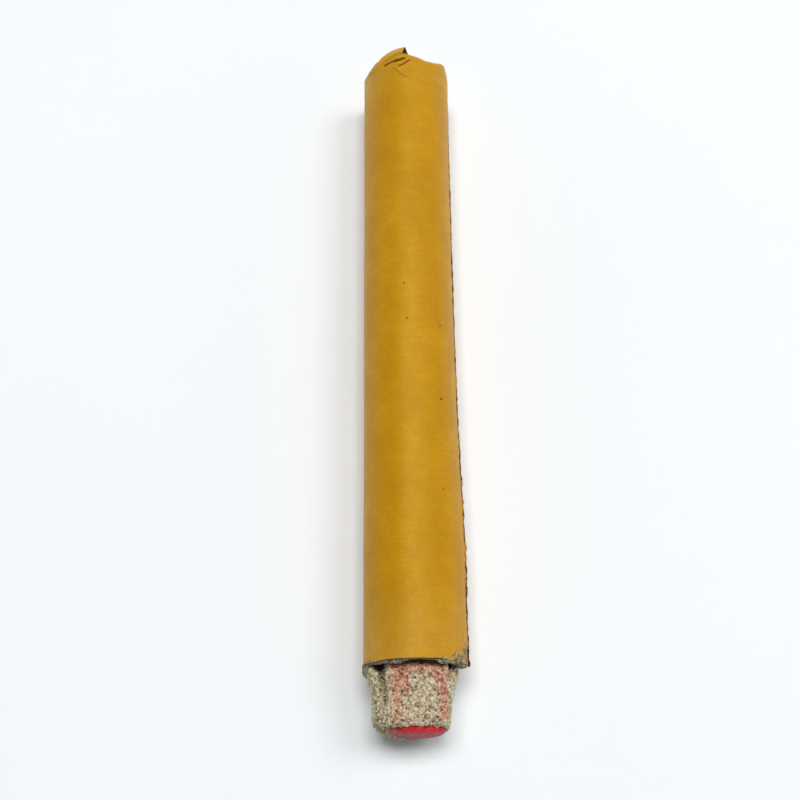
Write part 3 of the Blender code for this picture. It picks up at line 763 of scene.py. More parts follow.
# ---------------------------------------------------------------- the bead of paste on the rim
def make_bead():
    cols = 620
    section = 34
    a = np.arange(cols) / cols * 2 * math.pi
    deg = wrap_deg(a / RAD)
    # how far it stands out of the mouth, and its inner and outer edge, round the rim
    front = around(deg, [(-112, 0.45), (-104, 0.9), (-97, 1.9), (-90, 2.9), (-84, 3.1), (-77, 2.1), (-70, 0.8), (-60, 0.5), (-48, 0.62), (-38, 0.55), (-31, 0.38), (-26, 0.42), (-21, 0.85), (-16, 0.8), (-11, 0.30), (-5, 0.12), (0, 0.08), (8, 0.06), (24, 0.06), (29, 0.3), (34, 0.75), (40, 0.8), (45, 0.42), (50, 0.55), (56, 0.28), (61, 0.75), (66, 0.6), (71, 1.15), (77, 1.0), (83, 1.25), (88, 0.8), (96, 0.6), (120, 0.45), (150, 0.6), (180, 0.4), (215, 0.6), (240, 0.4)], 1.6)
    r_in = around(deg, [(-112, 9.7), (-90, 9.45), (-78, 9.55), (-68, 9.9), (-48, 9.95), (-30, 9.75), (-14, 9.7), (0, 9.95), (24, 9.95), (34, 9.75), (44, 10.0), (56, 10.15), (70, 10.05), (82, 9.95), (100, 9.8), (180, 9.8), (230, 9.75)], 2.0)
    r_out = around(deg, [(-112, 10.75), (-96, 10.9), (-84, 10.95), (-72, 10.8), (-50, 10.62), (-25, 10.62), (-8, 10.5), (2, 10.4), (24, 10.4), (34, 10.8), (50, 11.0), (66, 11.25), (76, 11.5), (84, 11.55), (92, 11.2), (110, 10.7), (180, 10.7), (240, 10.7)], 2.0)
    t = np.arange(section) / section * 2 * math.pi
    # a rounded bead: flat behind, full in front
    cx = 0.5 * (r_in + r_out)[None]
    hw = 0.5 * (r_out - r_in)[None]
    cs, sn = np.cos(t)[:, None], np.sin(t)[:, None]
    shape_r = np.sign(cs) * np.abs(cs) ** 0.65
    # where it stands far out it narrows towards its end
    narrow = 1 - 0.45 * ease((front[None] - 0.9) / 1.5) * np.clip(sn, 0, 1) ** 2
    r = cx + hw * shape_r * narrow
    y = np.where(sn > 0, -front[None] * np.abs(sn) ** 0.6, 0.02 * np.abs(sn)) + 0.04
    aa = np.broadcast_to(a, r.shape)
    p = np.stack([r * np.sin(aa), y, r * np.cos(aa)], -1)
    nrm = grid_normals(np.vstack([p, p[:1]]), True)[:-1]
    centre = np.stack([cx * np.sin(aa), 0 * aa - 0.3, cx * np.cos(aa)], -1)
    if ((p - centre) * nrm).sum() < 0:
        nrm = -nrm
    f1, f2, who = cells(p, 0.55, 111)
    g1, g2, wh2 = cells(p, 0.27, 112)
    facing = ease((0.1 - y) / 0.25)
    thin = np.broadcast_to(ease((front - 0.12) / 0.4)[None], y.shape)
    # gritty where it is thick, smooth over the left shoulder
    smoothed = np.broadcast_to((band(deg, -66, -34, 6.0))[None], y.shape)
    lump = 0.20 * fbm(p, 1.6, 3, 113) + (0.34 - 0.50 * f1) * (0.35 + 0.9 * who) * 0.8 + (0.18 - 0.28 * g1) * 0.6
    lump = lump * (0.12 + 0.88 * facing) * (0.15 + 0.85 * thin) * (1 - 0.55 * smoothed)
    # keep the bore free
    p = p + nrm * lump[..., None]
    rad = np.hypot(p[..., 0], p[..., 2])
    low = 9.42
    fix = np.maximum(rad, low) / rad
    p[..., 0] *= fix
    p[..., 2] *= fix
    n = section
    i, j = np.meshgrid(np.arange(n), np.arange(cols), indexing="ij")
    f = np.stack([i * cols + j, i * cols + (j + 1) % cols, ((i + 1) % n) * cols + (j + 1) % cols, ((i + 1) % n) * cols + j], -1).reshape(-1, 4)
    # painted shade: where the bead is thin, in the dark of the mouth, it takes the dark pit colour
    pit_and_shade = np.clip(ease((f1 - 0.46) / 0.35) + 0.6 * (1 - thin), 0, 1)
    pale = np.broadcast_to((0.85 * band(deg, -106, -70, 5.0) + 0.8 * band(deg, 25, 58, 5.0) + 0.10 * band(deg, 60, 98, 6.0))[None], y.shape)
    return make_mesh("mouth_bead", p.reshape(-1, 3), f, {"grain": who, "pit_and_shade": pit_and_shade, "red": 0 * pit_and_shade, "blush": smoothed, "tone": np.clip(pale, 0, 1)}, 0)


# ---------------------------------------------------------------- the striker block
# Sections at the mouth and at the nose, from the middle of the front face to the middle of the side, as (x, z).
RIGHT_KEYED = [(0.0, 7.0), (2.0, 7.0), (4.2, 7.0), (5.6, 6.95), (6.2, 6.75), (6.42, 6.2), (6.5, 5.2), (6.65, 4.5), (7.0, 4.15), (7.5, 4.0), (8.2, 3.55), (8.8, 2.6), (9.12, 1.3), (9.2, 0.0)]
LEFT_KEYED = [(0.0, 7.0), (2.0, 7.0), (4.1, 7.0), (5.3, 6.95), (5.95, 6.75), (6.15, 6.15), (6.22, 4.7), (6.35, 3.3), (6.75, 2.75), (7.2, 3.6), (7.75, 4.3), (8.45, 3.75), (9.0, 2.0), (9.2, 0.0)]
ROUNDED = [(0.0, 7.3), (1.8, 7.3), (3.6, 7.28), (4.7, 7.16), (5.6, 6.93), (6.2, 6.55), (6.75, 6.05), (7.2, 5.45), (7.55, 4.85), (7.85, 4.2), (8.15, 3.4), (8.4, 2.4), (8.55, 1.2), (8.6, 0.0)]
NOSE = -13.75
SLANT = 0.128
TURN = 6 * RAD


def full_section(right, left, back):
    right_back = [(x, -z) for x, z in reversed(back)][:-1]
    left_back = [(-x, -z) for x, z in back][:-1]
    left_front = [(-x, z) for x, z in reversed(left)][:-1]
    return np.array(list(right)[:-1] + right_back + left_back + left_front)


def resample(section, per):
    """Points along a closed section: per[k] on its k-th side."""
    out = []
    n = len(section)
    for k in range(n):
        a, b = section[k], section[(k + 1) % n]
        t = (np.arange(per[k]) / per[k])[:, None]
        out.append(a + (b - a) * t)
    return np.concatenate(out)


def soften(ring, width):
    k = np.exp(-0.5 * (np.arange(-3 * width, 3 * width + 1) / width) ** 2)
    k /= k.sum()
    pad = 3 * width
    r = np.concatenate([ring[-pad:], ring, ring[:pad]])
    return np.stack([np.convolve(r[:, i], k, "valid") for i in range(2)], -1)


def block_ring(fade_left, fade_right, fade_back):
    """The section at a station. The grooves fade at their own rate on each side."""
    keyed = full_section(RIGHT_KEYED, LEFT_KEYED, RIGHT_KEYED)
    rounded = full_section(ROUNDED, ROUNDED, ROUNDED)
    size = np.linalg.norm(np.roll(keyed, -1, 0) - keyed, axis=1)
    per = np.maximum(2, np.round(size / 0.122)).astype(int)
    k, r = resample(keyed, per), resample(rounded, per)
    left = (k[:, 0] < 0) & (k[:, 1] > 0)
    right = (k[:, 0] > 0) & (k[:, 1] > 0)
    f = np.where(left, fade_left, np.where(right, fade_right, fade_back))[:, None]
    return (1 - f) * k + f * r


def tip_outline(a):
    """Radius of the striking tip's rim by angle: wider than high, most on its right."""
    wide = 6.22 + 0.92 * ease((np.sin(a) - 0.1) / 0.8)
    return (np.abs(np.sin(a) / wide) ** 2.35 + np.abs(np.cos(a) / 5.72) ** 2.35) ** (-1 / 2.35)


def slanted(y, z):
    """Stations near the nose lean with it."""
    return y + SLANT * z * ease((-y - 9.6) / (-NOSE - 9.6))


def make_block():
    START = NOSE + 2.7                               # where the nose begins to round
    stations = np.concatenate([np.linspace(9.9, 0.6, 46), np.linspace(0.45, START, 92)])
    rings, notch_shade_rows = [], []

    def place(ring, y, out):
        c, s = math.cos(TURN), math.sin(TURN)
        x = ring[:, 0] * c + ring[:, 1] * s - 0.34 * out
        z = -ring[:, 0] * s + ring[:, 1] * c
        return np.stack([x, slanted(y, ring[:, 1]), z], -1)

    for y in stations:
        out = max(0.0, -y) / -NOSE
        fl = float(ease((-y - 1.6) / 8.2))
        fr = float(ease((-y - 0.6) / 7.0))
        fb = float(ease((-y - 1.2) / 8.0))
        ring = soften(block_ring(fl, fr, fb), 2)
        grip = 0.965 if y > 0.5 else 0.965 + 0.035 * float(ease((0.5 - y) / 1.2))
        if y > 9.2:
            grip *= 0.93 + 0.07 * math.sqrt(max(0.0, 1 - ((y - 9.2) / 0.75) ** 2))
        ring = ring * grip
        # the panel narrows a little on its left, and stays sharp on its right
        left = ease((-ring[:, 0] - 2.5) / 3.0) * (ring[:, 1] > 3.0)
        was = ring[:, 0].copy()
        left = left * (1 - ease((-was - 6.9) / 2.2))
        ring[:, 0] += left * (0.42 * out - 0.72 * (1 - out))
        right = ease((ring[:, 0] - 2.5) / 3.0) * (ring[:, 1] > 4.2)
        ring[:, 0] += right * (0.22 + 0.25 * out)
        # a narrow notch runs along the panel's left edge and stops short of the nose
        notch = float(ease((-y - 0.4) / 0.8) * ease((9.3 + y) / 0.7))
        ring[:, 1] -= notch * (1.25 + 0.35 * math.sin(y * 3.1) + 0.25 * math.sin(y * 7.7 + 1)) * np.exp(-(((was + 6.44) / 0.36) ** 2)) * (ring[:, 1] > 1.0)
        # outside the mouth it spreads past the bore, more on its left
        free = float(ease((-0.35 - y) / 0.9))
        side_l = ease((-was - 6.9) / 1.5) * (ring[:, 1] > -5.0) * ease((5.6 - ring[:, 1]) / 2.0)
        side_r = ease((ring[:, 0] - 6.9) / 1.6) * (ring[:, 1] > -5.0) * ease((5.2 - ring[:, 1]) / 2.0)
        ring[:, 0] -= side_l * free * (0.95 * math.exp(-((y + 1.7) / 2.4) ** 2) + 0.22)
        ring[:, 0] += side_r * free * (0.45 * math.exp(-((y + 1.2) / 4.0) ** 2))
        ring[:, 0] -= ease((ring[:, 0] - 5.5) / 3.0) * 0.60 * float(ease((-y - 4.0) / 7.5))
        # hollows at the top of both flanks, where the mouth shows dark
        hollow = float(ease((y + 2.1) / 0.9))
        span = ease((-ring[:, 0] - 6.0) / 0.4) * ease((ring[:, 0] + 9.2) / 0.8) * (ring[:, 1] > 0)
        ring[:, 1] -= span * hollow * np.clip(ring[:, 1] - 1.2, 0, 2.4)
        hollow = float(ease((y + 1.5) / 0.7))
        span = ease((ring[:, 0] - 6.7) / 0.3) * ease((7.9 - ring[:, 0]) / 0.5) * (ring[:, 1] > 0)
        ring[:, 1] -= span * hollow * np.clip(ring[:, 1] - 2.0, 0, 1.6)
        rings.append(place(ring, y, out))
        # the notch's painted shade, kept for each ring
        notch_shade_rows.append(notch * np.exp(-(((was + 6.44) / 0.42) ** 2)) * (ring[:, 1] > 0.5))
        last_ring = ring
    cx, cz = -0.34, 0.0
    count = len(rings[-1])
    # the rounded nose: wide at the sides and foot, tighter along the front face
    for k in range(1, 23):
        u = k / 22 * math.pi / 2
        inset = 1 - math.cos(u)
        y = START - 2.7 * math.sin(u)
        ring = last_ring.copy()
        low = ease((2.0 - last_ring[:, 1]) / 5.0)
        ring[:, 0] *= 1 - inset * (0.215 - 0.115 * ease(last_ring[:, 0] / 5.0))
        ring[:, 1] *= 1 - inset * (0.065 + 0.10 * low)
        rings.append(place(ring, y, max(0.0, -y) / -NOSE))
    edge = rings[-1]
    ang = np.arctan2(edge[:, 0] - cx, edge[:, 2])
    rim_r = tip_outline(ang) + 0.07 * np.sin(3 * ang + 1.0) + 0.05 * np.sin(7 * ang)
    lean = SLANT * (edge[:, 0] * math.sin(TURN) + edge[:, 2] * math.cos(TURN)) * 0
    rim_x, rim_z = cx + rim_r * np.sin(ang), rim_r * np.cos(ang)
    rim = np.stack([rim_x, NOSE - 0.08 + SLANT * (rim_x * math.sin(TURN) + rim_z * math.cos(TURN)), rim_z], -1)
    for k in range(1, 11):
        u = k / 10
        ring = edge * (1 - u) + rim * u
        ring[:, 1] -= 0.10 * math.sin(u * math.pi)
        rings.append(ring)
    nose_rows = len(rings)

    def pocket_ring(share, depth):
        x, z = cx + (rim_x - cx) * share, rim_z * share
        return np.stack([x, NOSE + depth + SLANT * (x * math.sin(TURN) + z * math.cos(TURN)), z], -1)

    for r, d in ((0.985, 0.08), (0.975, 0.36), (0.97, 0.66), (0.75, 0.68), (0.4, 0.68), (0.12, 0.68)):
        rings.append(pocket_ring(r, d))
    # the inner end
    first = rings[0]
    caps = []
    for r in (0.10, 0.35, 0.6, 0.8, 0.93):
        ring = first.copy()
        ring[:, 0] *= r
        ring[:, 2] *= r
        ring[:, 1] = 9.93
        caps.append(ring)
    grid = np.array(caps + rings)
    rows = len(grid)
    normal = grid_normals(grid, True)
    mid_row = len(caps) + 90
    if (normal[mid_row] * (grid[mid_row] * [1, 0, 1])).sum() < 0:
        normal = -normal
    y, x, z = grid[..., 1], grid[..., 0], grid[..., 2]
    out = ease((0.3 - y) / 1.0)
    nose_row = np.arange(rows)[:, None] >= len(caps) + nose_rows
    pocket = (nose_row * 1.0) * np.ones(grid.shape[:2])
    # cast grit: coarse and fine grains, with hollows where grains fell out
    f1, f2, who = cells(grid, 0.66, 121)
    g1, g2, wh2 = cells(grid, 0.34, 122)
    lumpy = 0.13 * fbm(grid, 2.6, 3, 123)
    coarse = (0.36 - 0.66 * f1) * (0.35 + 0.9 * who)
    lost = (who < 0.20) * ease((0.62 - f1) / 0.25)
    fine = (0.20 - 0.36 * g1) * (0.4 + 0.8 * wh2)
    height = lumpy + coarse * 0.85 + fine * 0.70 - 0.34 * lost
    pits_and_shade = np.clip(ease((f1 - 0.52) / 0.3) * 0.55 + lost * 1.0 + ease((g1 - 0.62) / 0.3) * 0.35, 0, 1)
    shallow = 0.30 + 0.70 * out
    height = height * shallow * (1 - 0.9 * pocket) - 0.04 * (1 - out)
    caps_row = (np.arange(rows)[:, None] < len(caps)) * 1.0
    # painted shade: the notch along the panel's left edge is painted dark through the pit colour
    shade = np.zeros(grid.shape[:2])
    shade[len(caps):len(caps) + len(notch_shade_rows)] = np.array(notch_shade_rows)
    pits_and_shade = np.maximum(pits_and_shade, 0.9 * shade * ease((vnoise(grid, 0.7, 125) + 0.7) / 0.5))
    height = height * (1 - 0.6 * caps_row)
    moved = grid + normal * height[..., None]
    # the tenon never swells past its bore
    rad = np.hypot(moved[..., 0], moved[..., 2])
    limit = np.where(y > -0.55, 9.28, 99.0)
    fix = np.minimum(1.0, limit / np.maximum(rad, 1e-6))
    moved[..., 0] *= fix
    moved[..., 2] *= fix
    moved[..., 1] = np.minimum(moved[..., 1], 10.0)

    # red striking compound rubbed onto the grit
    top = ease((z - 5.0) / 0.8)
    n1 = vnoise(grid, 0.62, 131)
    n2 = vnoise(grid, 0.27, 132)
    blotch = ease((n1 * 0.55 + n2 * 0.75 + 0.02) / 0.30) * (0.55 + 0.45 * ease((who - 0.25) / 0.3))
    near_mouth = band(y, -6.2, -0.2, 1.6)
    left_patch = near_mouth * band(x, -4.9, -1.0, 1.0)
    right_patch = band(y, -6.4, 0.0, 1.6) * band(x, 4.4, 6.9, 0.8)
    across = band(y, -2.6, 0.3, 1.0) * band(x, -5.0, 4.6, 1.5) * 0.75
    small = band(y, -8.6, -7.4, 0.5) * band(x, -4.9, -2.4, 0.7)
    stripe = band(y, -11.6, -6.4, 1.2) * band(x, 5.7, 7.2, 0.5) * 0.85
    low_left = band(y, -13.2, -9.0, 1.5) * band(x, -4.8, -2.4, 0.9) * 0.35
    right_side = band(y, -3.4, -0.3, 1.0) * band(x, 7.4, 9.0, 0.8) * band(z, -1.0, 4.5, 1.5) * 0.70
    red = np.clip(left_patch * 0.80 + right_patch * 0.85 + across + small + stripe + low_left, 0, 1) * top
    red = np.maximum(red, right_side)
    red = red * blotch
    cut = SLANT * (x * math.sin(TURN) + z * math.cos(TURN))
    dist_tip = np.hypot(x - cx, z)
    at_nose = ease((NOSE + cut + 0.55 - y) / 0.6) * ease((7.2 - dist_tip) / 0.8)
    red = np.maximum(red, at_nose * ease((n1 + 0.15) / 0.4) * 0.75 * ease((z + 3.0) / 4.0))
    blush = np.clip((left_patch + 0.8 * right_patch + across + 1.3 * band(y, -12.0, -5.6, 1.4) * band(x, 5.2, 7.3, 0.7) + low_left + 0.35 * band(y, -12, -2, 2.0) * band(x, -4.8, -1.5, 1.0)) * top + 0.6 * right_side + 0.5 * at_nose, 0, 1)
    # the flanks are greyer
    tone = ease((5.4 - z) / 1.2) * ease((-x - 5.6) / 0.6)
    tone = np.maximum(tone, 0.45 * ease((4.6 - z) / 1.5))
    tone = np.maximum(tone, 0.9 * ease((5.6 - z) / 1.5) * ease((x - 7.0) / 0.6))
    tone = np.maximum(tone, 0.8 * ease((-x - 2.0) / 3.0) * ease((NOSE + cut + 1.2 - y) / 0.8))
    n = rows * count
    faces = quads(rows, count, True)
    verts = moved.reshape(-1, 3)
    centre0 = moved[0].mean(0)
    centre1 = moved[-1].mean(0)
    verts = np.vstack([verts, centre0, centre1])
    j = np.arange(count)
    j2 = (j + 1) % count
    fan0 = np.stack([j2, j, np.full(count, n)], -1)
    fan1 = np.stack([(rows - 1) * count + j, (rows - 1) * count + j2, np.full(count, n + 1)], -1)
    attrs = {}
    for key, v in (("grain", who * 0.65 + wh2 * 0.35), ("pit_and_shade", pits_and_shade), ("red", red), ("blush", blush), ("tone", tone)):
        attrs[key] = np.concatenate([v.ravel(), [v[0].mean(), v[-1].mean()]])
    return make_mesh("striker_grit", verts, [faces, fan0, fan1], attrs, 0), moved, normal


def make_tip():
    """The striking tip: smooth, domed and red, slanted like the nose."""
    rows, cols = 60, 240
    cx = -0.34
    a = np.arange(cols) / cols * 2 * math.pi
    prof = [(0.3, NOSE + 0.74), (3.0, NOSE + 0.74), (5.66, NOSE + 0.74), (5.78, NOSE + 0.6), (5.84, NOSE + 0.3)]
    for u in np.linspace(0.0, 1.0, rows - len(prof)):
        share = min(0.998, 1 - u**1.6)
        prof.append((5.9 * max(share, 0.012), NOSE - 0.10 - 1.2 * math.sqrt(max(0.0, 1 - share**4.5))))
    prof = np.array(prof)
    r = prof[:, 0][:, None] * (tip_outline(a) / 5.98)
    y = prof[:, 1][:, None] * np.ones(cols)
    p = np.stack([cx + r * np.sin(a), y, r * np.cos(a)], -1)
    wave = 0.09 * fbm(p, 2.8, 2, 141) + 0.03 * vnoise(p, 0.9, 142)
    edge = ease((r - 4.6) / 1.0)
    wave = wave + edge * 0.08 * vnoise(p, 0.5, 143)
    x, z = p[..., 0], p[..., 2]
    crust = ease((vnoise(p, 1.3, 151) * 0.35 + vnoise(p, 0.5, 152) * 0.35 + (-(x - cx) * 0.27 - z * 0.20) - 0.56) / 0.40) * (y < NOSE)
    f1, f2, who = cells(p, 0.5, 144)
    wave = wave + crust * (0.30 - 0.45 * f1) * (0.5 + who)
    y2 = y - wave * (y < NOSE) + SLANT * (x * math.sin(TURN) + z * math.cos(TURN))
    r2 = r + 0.05 * np.sin(2 * a + 0.4) * (y < NOSE) * ease((r - 2) / 3)
    p = np.stack([cx + r2 * np.sin(a), y2, r2 * np.cos(a)], -1)
    n = p.shape[0] * cols
    faces = quads(p.shape[0], cols, True)
    verts = np.vstack([p.reshape(-1, 3), [[cx, p[0, :, 1].mean(), 0]], [[cx, p[-1, :, 1].mean(), 0]]])
    j = np.arange(cols)
    j2 = (j + 1) % cols
    last = (p.shape[0] - 1) * cols
    fan0 = np.stack([j2, j, np.full(cols, n)], -1)
    fan1 = np.stack([last + j, last + j2, np.full(cols, n + 1)], -1)
    # grit caught in its edge
    dust = ease((vnoise(p, 0.6, 153) + edge * 0.8 - 0.75) / 0.4)
    dust = np.maximum(dust, ease((-(x - cx) - 2.6) / 2.5) * 0.8)
    # painted shade: the lower face of the tip is painted darker, less so on its right; its left side is dulled by grime
    grime_and_shade = ease((4.7 - 0.30 * np.clip(x - cx, 0, 6) - z + 0.9 * vnoise(p, 1.1, 155)) / 1.9)
    grime_and_shade = np.maximum(grime_and_shade, 0.8 * ease((-(x - cx) - 1.6 + 0.8 * vnoise(p, 0.7, 156)) / 3.0))
    attrs = {"crust": crust, "dust": dust, "rim": edge, "grime_and_shade": grime_and_shade}
    attrs = {k: np.concatenate([v.ravel(), [0, 0]]) for k, v in attrs.items()}
    return make_mesh("striking_dome", verts, [faces, fan0, fan1], attrs, 0)


# ---------------------------------------------------------------- loose grains
def grain_shape():
    bm = bmesh.new()
    bmesh.ops.create_icosphere(bm, subdivisions=2, radius=1.0)
    v = np.array([x.co[:] for x in bm.verts])
    f = np.array([[q.index for q in t.verts] for t in bm.faces])
    bm.free()
    return v, f


def make_grains(name, spots, sizes, seed, sink=0.35):
    """Angular grains of grit set into a surface: spots is (points, normals)."""
    points, normals = spots
    base, faces = grain_shape()
    rng = np.random.default_rng(seed)
    verts, tris, tint, red = [], [], [], []
    for k, (p, n) in enumerate(zip(points, normals)):
        size = sizes[k]
        q = rng.normal(size=(3, 3))
        q, _ = np.linalg.qr(q)
        shape = base * rng.uniform(0.7, 1.25, 3)
        bumps = 1 + 0.30 * vnoise(shape + k * 3.7, 0.9, seed + 5)
        shape = np.sign(shape) * np.abs(shape) ** 0.85 * bumps[:, None]
        v = (shape * size) @ q.T + p - n * size * sink
        tris.append(faces + len(base) * k)
        verts.append(v)
        tint.append(np.full(len(base), rng.random()))
    tint = np.concatenate(tint)
    return make_mesh(name, np.concatenate(verts), np.concatenate(tris), {"grain": tint, "pit_and_shade": 0 * tint, "red": 0 * tint, "blush": 0 * tint, "tone": 0.25 + 0 * tint}, 38)


# ---------------------------------------------------------------- materials of the pieces
def kraft_material(name, inside=False):
    m = Nodes(name)
    deep, mid, pale = srgb(175, 122, 0), srgb(186, 132, 0), srgb(201, 148, 14)
    cloud = m.noise(1.0, 6, 0.66, m.scale(120, 95, 135, turn=(0.5, 0.35, 0.9)))      # uneven clouds
    streak = m.noise(1.0, 4, 0.62, m.scale(260, 1500, 260))                # fibres and wax drawn round the roll
    fibre = m.noise(1.0, 4, 0.65, m.scale(2600, 2200, 2600))
    tone = m.math("ADD", m.math("MULTIPLY", cloud, 0.46), m.math("MULTIPLY", streak, 0.20))
    tone = m.math("ADD", tone, m.math("MULTIPLY", fibre, 0.34))
    colour = m.ramp(tone, [(0.36, deep), (0.50, mid), (0.64, pale)])
    # pale fibres and darker flecks in the pulp
    pale_fibre = m.step(m.noise(1.0, 2, 0.5, m.scale(900, 2100, 900, shift=(3, 1, 2)), distortion=1.2), 0.64, 0.74)
    colour = m.mix(m.math("MULTIPLY", pale_fibre, 0.22), colour, srgb(226, 180, 84))
    fleck = m.step(m.voronoi(620, "Distance", m.scale(1, 0.8, 1)), 0.13, 0.07)
    fleck = m.math("MULTIPLY", fleck, m.step(m.noise(330, 1, 0.5), 0.54, 0.62))
    colour = m.mix(m.math("MULTIPLY", fleck, 0.55), colour, srgb(128, 80, 6))
    grain = m.step(m.voronoi(1500, "Distance"), 0.20, 0.10)
    grain = m.math("MULTIPLY", grain, m.step(m.noise(700, 2, 0.5), 0.50, 0.60))
    colour = m.mix(m.math("MULTIPLY", grain, 0.22), colour, srgb(140, 92, 4))
    # painted light: the tail is painted paler, most on its left shoulder and over the roll, for the light they catch
    tail = m.att("tail")
    colour = m.mix(m.math("MULTIPLY", tail, 0.30), colour, srgb(212, 172, 84))
    for x, y, z, r in ((-5.4, 87.29, 0, 0.17), (-2.3, 78.13, 0, 0.20), (41.9, 77.21, 0, 0.19), (40.5, 58.72, 0, 0.24), (40.1, 37.26, 0, 0.16)):
        p = world([[SKIN * math.sin(x * RAD), y, SKIN * math.cos(x * RAD)]])[0]
        colour = m.mix(m.math("MULTIPLY", m.near(p, r * 0.00125, 0.00012), 0.97), colour, srgb(52, 26, 6))
    for x, y, r in ((-13.0, 121.3, 0.14), (18.0, 101.0, 0.11), (-33.0, 64.0, 0.12), (8.0, 44.0, 0.10), (24.0, 15.5, 0.13), (-42.0, 27.0, 0.12), (-21.0, 8.0, 0.1)):
        p = world([[SKIN * math.sin(x * RAD), y, SKIN * math.cos(x * RAD)]])[0]
        colour = m.mix(m.math("MULTIPLY", m.near(p, r * 0.001, 0.00012), 0.5), colour, srgb(112, 70, 16))
    smear = m.att("smear")
    dust = m.math("MULTIPLY", m.att("dusty"), m.step(m.noise(900, 5, 0.7), 0.34, 0.66))
    colour = m.mix(m.math("MULTIPLY", dust, 0.40), colour, srgb(184, 142, 72))
    dirt = m.ramp(m.noise(1300, 5, 0.7), [(0.38, srgb(70, 56, 36)), (0.49, srgb(130, 113, 80)), (0.62, srgb(184, 168, 132))])
    smear = m.math("MULTIPLY", smear, m.step(m.noise(700, 5, 0.65), 0.22, 0.42))
    colour = m.mix(m.math("MULTIPLY", smear, 0.90), colour, dirt)
    # painted shade: darker in the folds, along the flap edges and where the roll lies on the tail
    crease = m.att("crease")
    colour = m.mix(m.math("MULTIPLY", crease, 0.94), colour, srgb(64, 34, 0))
    # dark raw edges, with painted shadow along the lapped free edge and under its corner by the mouth
    edge = m.att("edge")
    colour = m.mix(edge, colour, m.ramp(m.noise(1400, 4, 0.6), [(0.38, srgb(34, 18, 6)), (0.58, srgb(84, 50, 16))]))
    if inside:
        # painted shade inside the roll
        colour = m.mix(m.att("inside"), colour, srgb(88, 54, 20))
    rough = m.math("ADD", m.math("MULTIPLY", m.noise(420, 4, 0.6), 0.26), 0.37)
    rough = m.math("ADD", rough, m.math("MULTIPLY", smear, 0.35), clamp=True)
    # the wax lies in soft patches, over fibres that run round the roll
    h = m.math("ADD", m.math("MULTIPLY", m.noise(1.0, 5, 0.6, m.scale(900, 1900, 900)), 0.5), m.math("MULTIPLY", m.noise(5200, 3, 0.5), 0.2))
    h = m.math("ADD", h, m.math("MULTIPLY", m.noise(1.0, 4, 0.6, m.scale(300, 210, 330, turn=(0.6, 0.2, 0.8))), 1.3))
    normal = m.bump(h, 0.00008, 0.55)
    m.set(Base_Color=colour, Roughness=rough, Normal=normal)
    m.set(Specular_IOR_Level=m.math("MULTIPLY", m.math("SUBTRACT", 1.0, m.math("MAXIMUM", crease, edge)), 0.46))
    m.bsdf.inputs["Specular Tint"].default_value = (1.0, 0.80, 0.26, 1)
    m.bsdf.inputs["Sheen Weight"].default_value = 0.10
    m.bsdf.inputs["Sheen Roughness"].default_value = 0.40
    m.bsdf.inputs["Sheen Tint"].default_value = (1.0, 0.72, 0.14, 1)
    return m.mat


def grit_material(name, paste=False):
    m = Nodes(name)
    grain = m.att("grain")
    fine = m.voronoi(3600, "Color")
    sep = m.t.nodes.new("ShaderNodeSeparateColor")
    m.link(fine, sep.inputs[0])
    value = m.math("ADD", m.math("MULTIPLY", grain, 0.62), m.math("MULTIPLY", sep.outputs[0], 0.38))
    if paste:
        stops = [(0.0, srgb(58, 50, 36)), (0.3, srgb(104, 94, 72)), (0.55, srgb(146, 134, 104)), (0.8, srgb(190, 180, 152)), (1.0, srgb(124, 110, 84))]
    else:
        stops = [(0.0, srgb(106, 85, 54)), (0.14, srgb(157, 136, 102)), (0.36, srgb(205, 184, 149)), (0.62, srgb(223, 207, 175)), (0.80, srgb(254, 249, 229)), (1.0, srgb(168, 146, 108))]
    colour = m.ramp(value, stops)
    cloud = m.noise(420, 3, 0.6)
    colour = m.mix(m.math("MULTIPLY", cloud, 0.30), colour, srgb(190, 182, 152), "MULTIPLY")
    colour = m.mix(m.math("MULTIPLY", m.att("tone"), 0.75), colour, srgb(236, 252, 232), "MULTIPLY")
    if not paste:
        colour = m.mix(m.math("MULTIPLY", m.att("blush"), 0.60), colour, srgb(255, 200, 190), "MULTIPLY")
        red = m.att("red")
        colour = m.mix(m.math("MULTIPLY", red, 0.9), colour, m.ramp(m.noise(1300, 3, 0.6), [(0.35, srgb(196, 40, 52)), (0.65, srgb(226, 84, 92))]))
    if paste:
        colour = m.mix(m.math("MULTIPLY", m.att("blush"), 0.7), colour, srgb(132, 112, 106))
        colour = m.mix(m.math("MULTIPLY", m.att("tone"), 0.55), colour, srgb(190, 186, 164))
    # dark in pits, and painted shade in the block's notch and where the bead thins in the mouth
    pit_and_shade = m.math("ADD", m.att("pit_and_shade"), m.math("MULTIPLY", m.step(m.voronoi(2600, "Distance"), 0.55, 0.70), 0.50), clamp=True)
    dark = m.ramp(m.noise(800, 2, 0.5), [(0.4, srgb(58, 38, 24)), (0.6, srgb(104, 82, 56))])
    colour = m.mix(m.math("MULTIPLY", pit_and_shade, 0.80), colour, dark)
    rough = m.math("ADD", m.math("MULTIPLY", sep.outputs[1], 0.35), 0.55)
    h = m.math("ADD", m.math("MULTIPLY", m.voronoi(3600, "Distance"), -0.6), m.math("MULTIPLY", m.noise(6500, 4, 0.6), 0.4))
    m.set(Base_Color=colour, Roughness=rough, Normal=m.bump(h, 0.00022, 0.8))
    m.bsdf.inputs["Specular IOR Level"].default_value = 0.4
    return m.mat


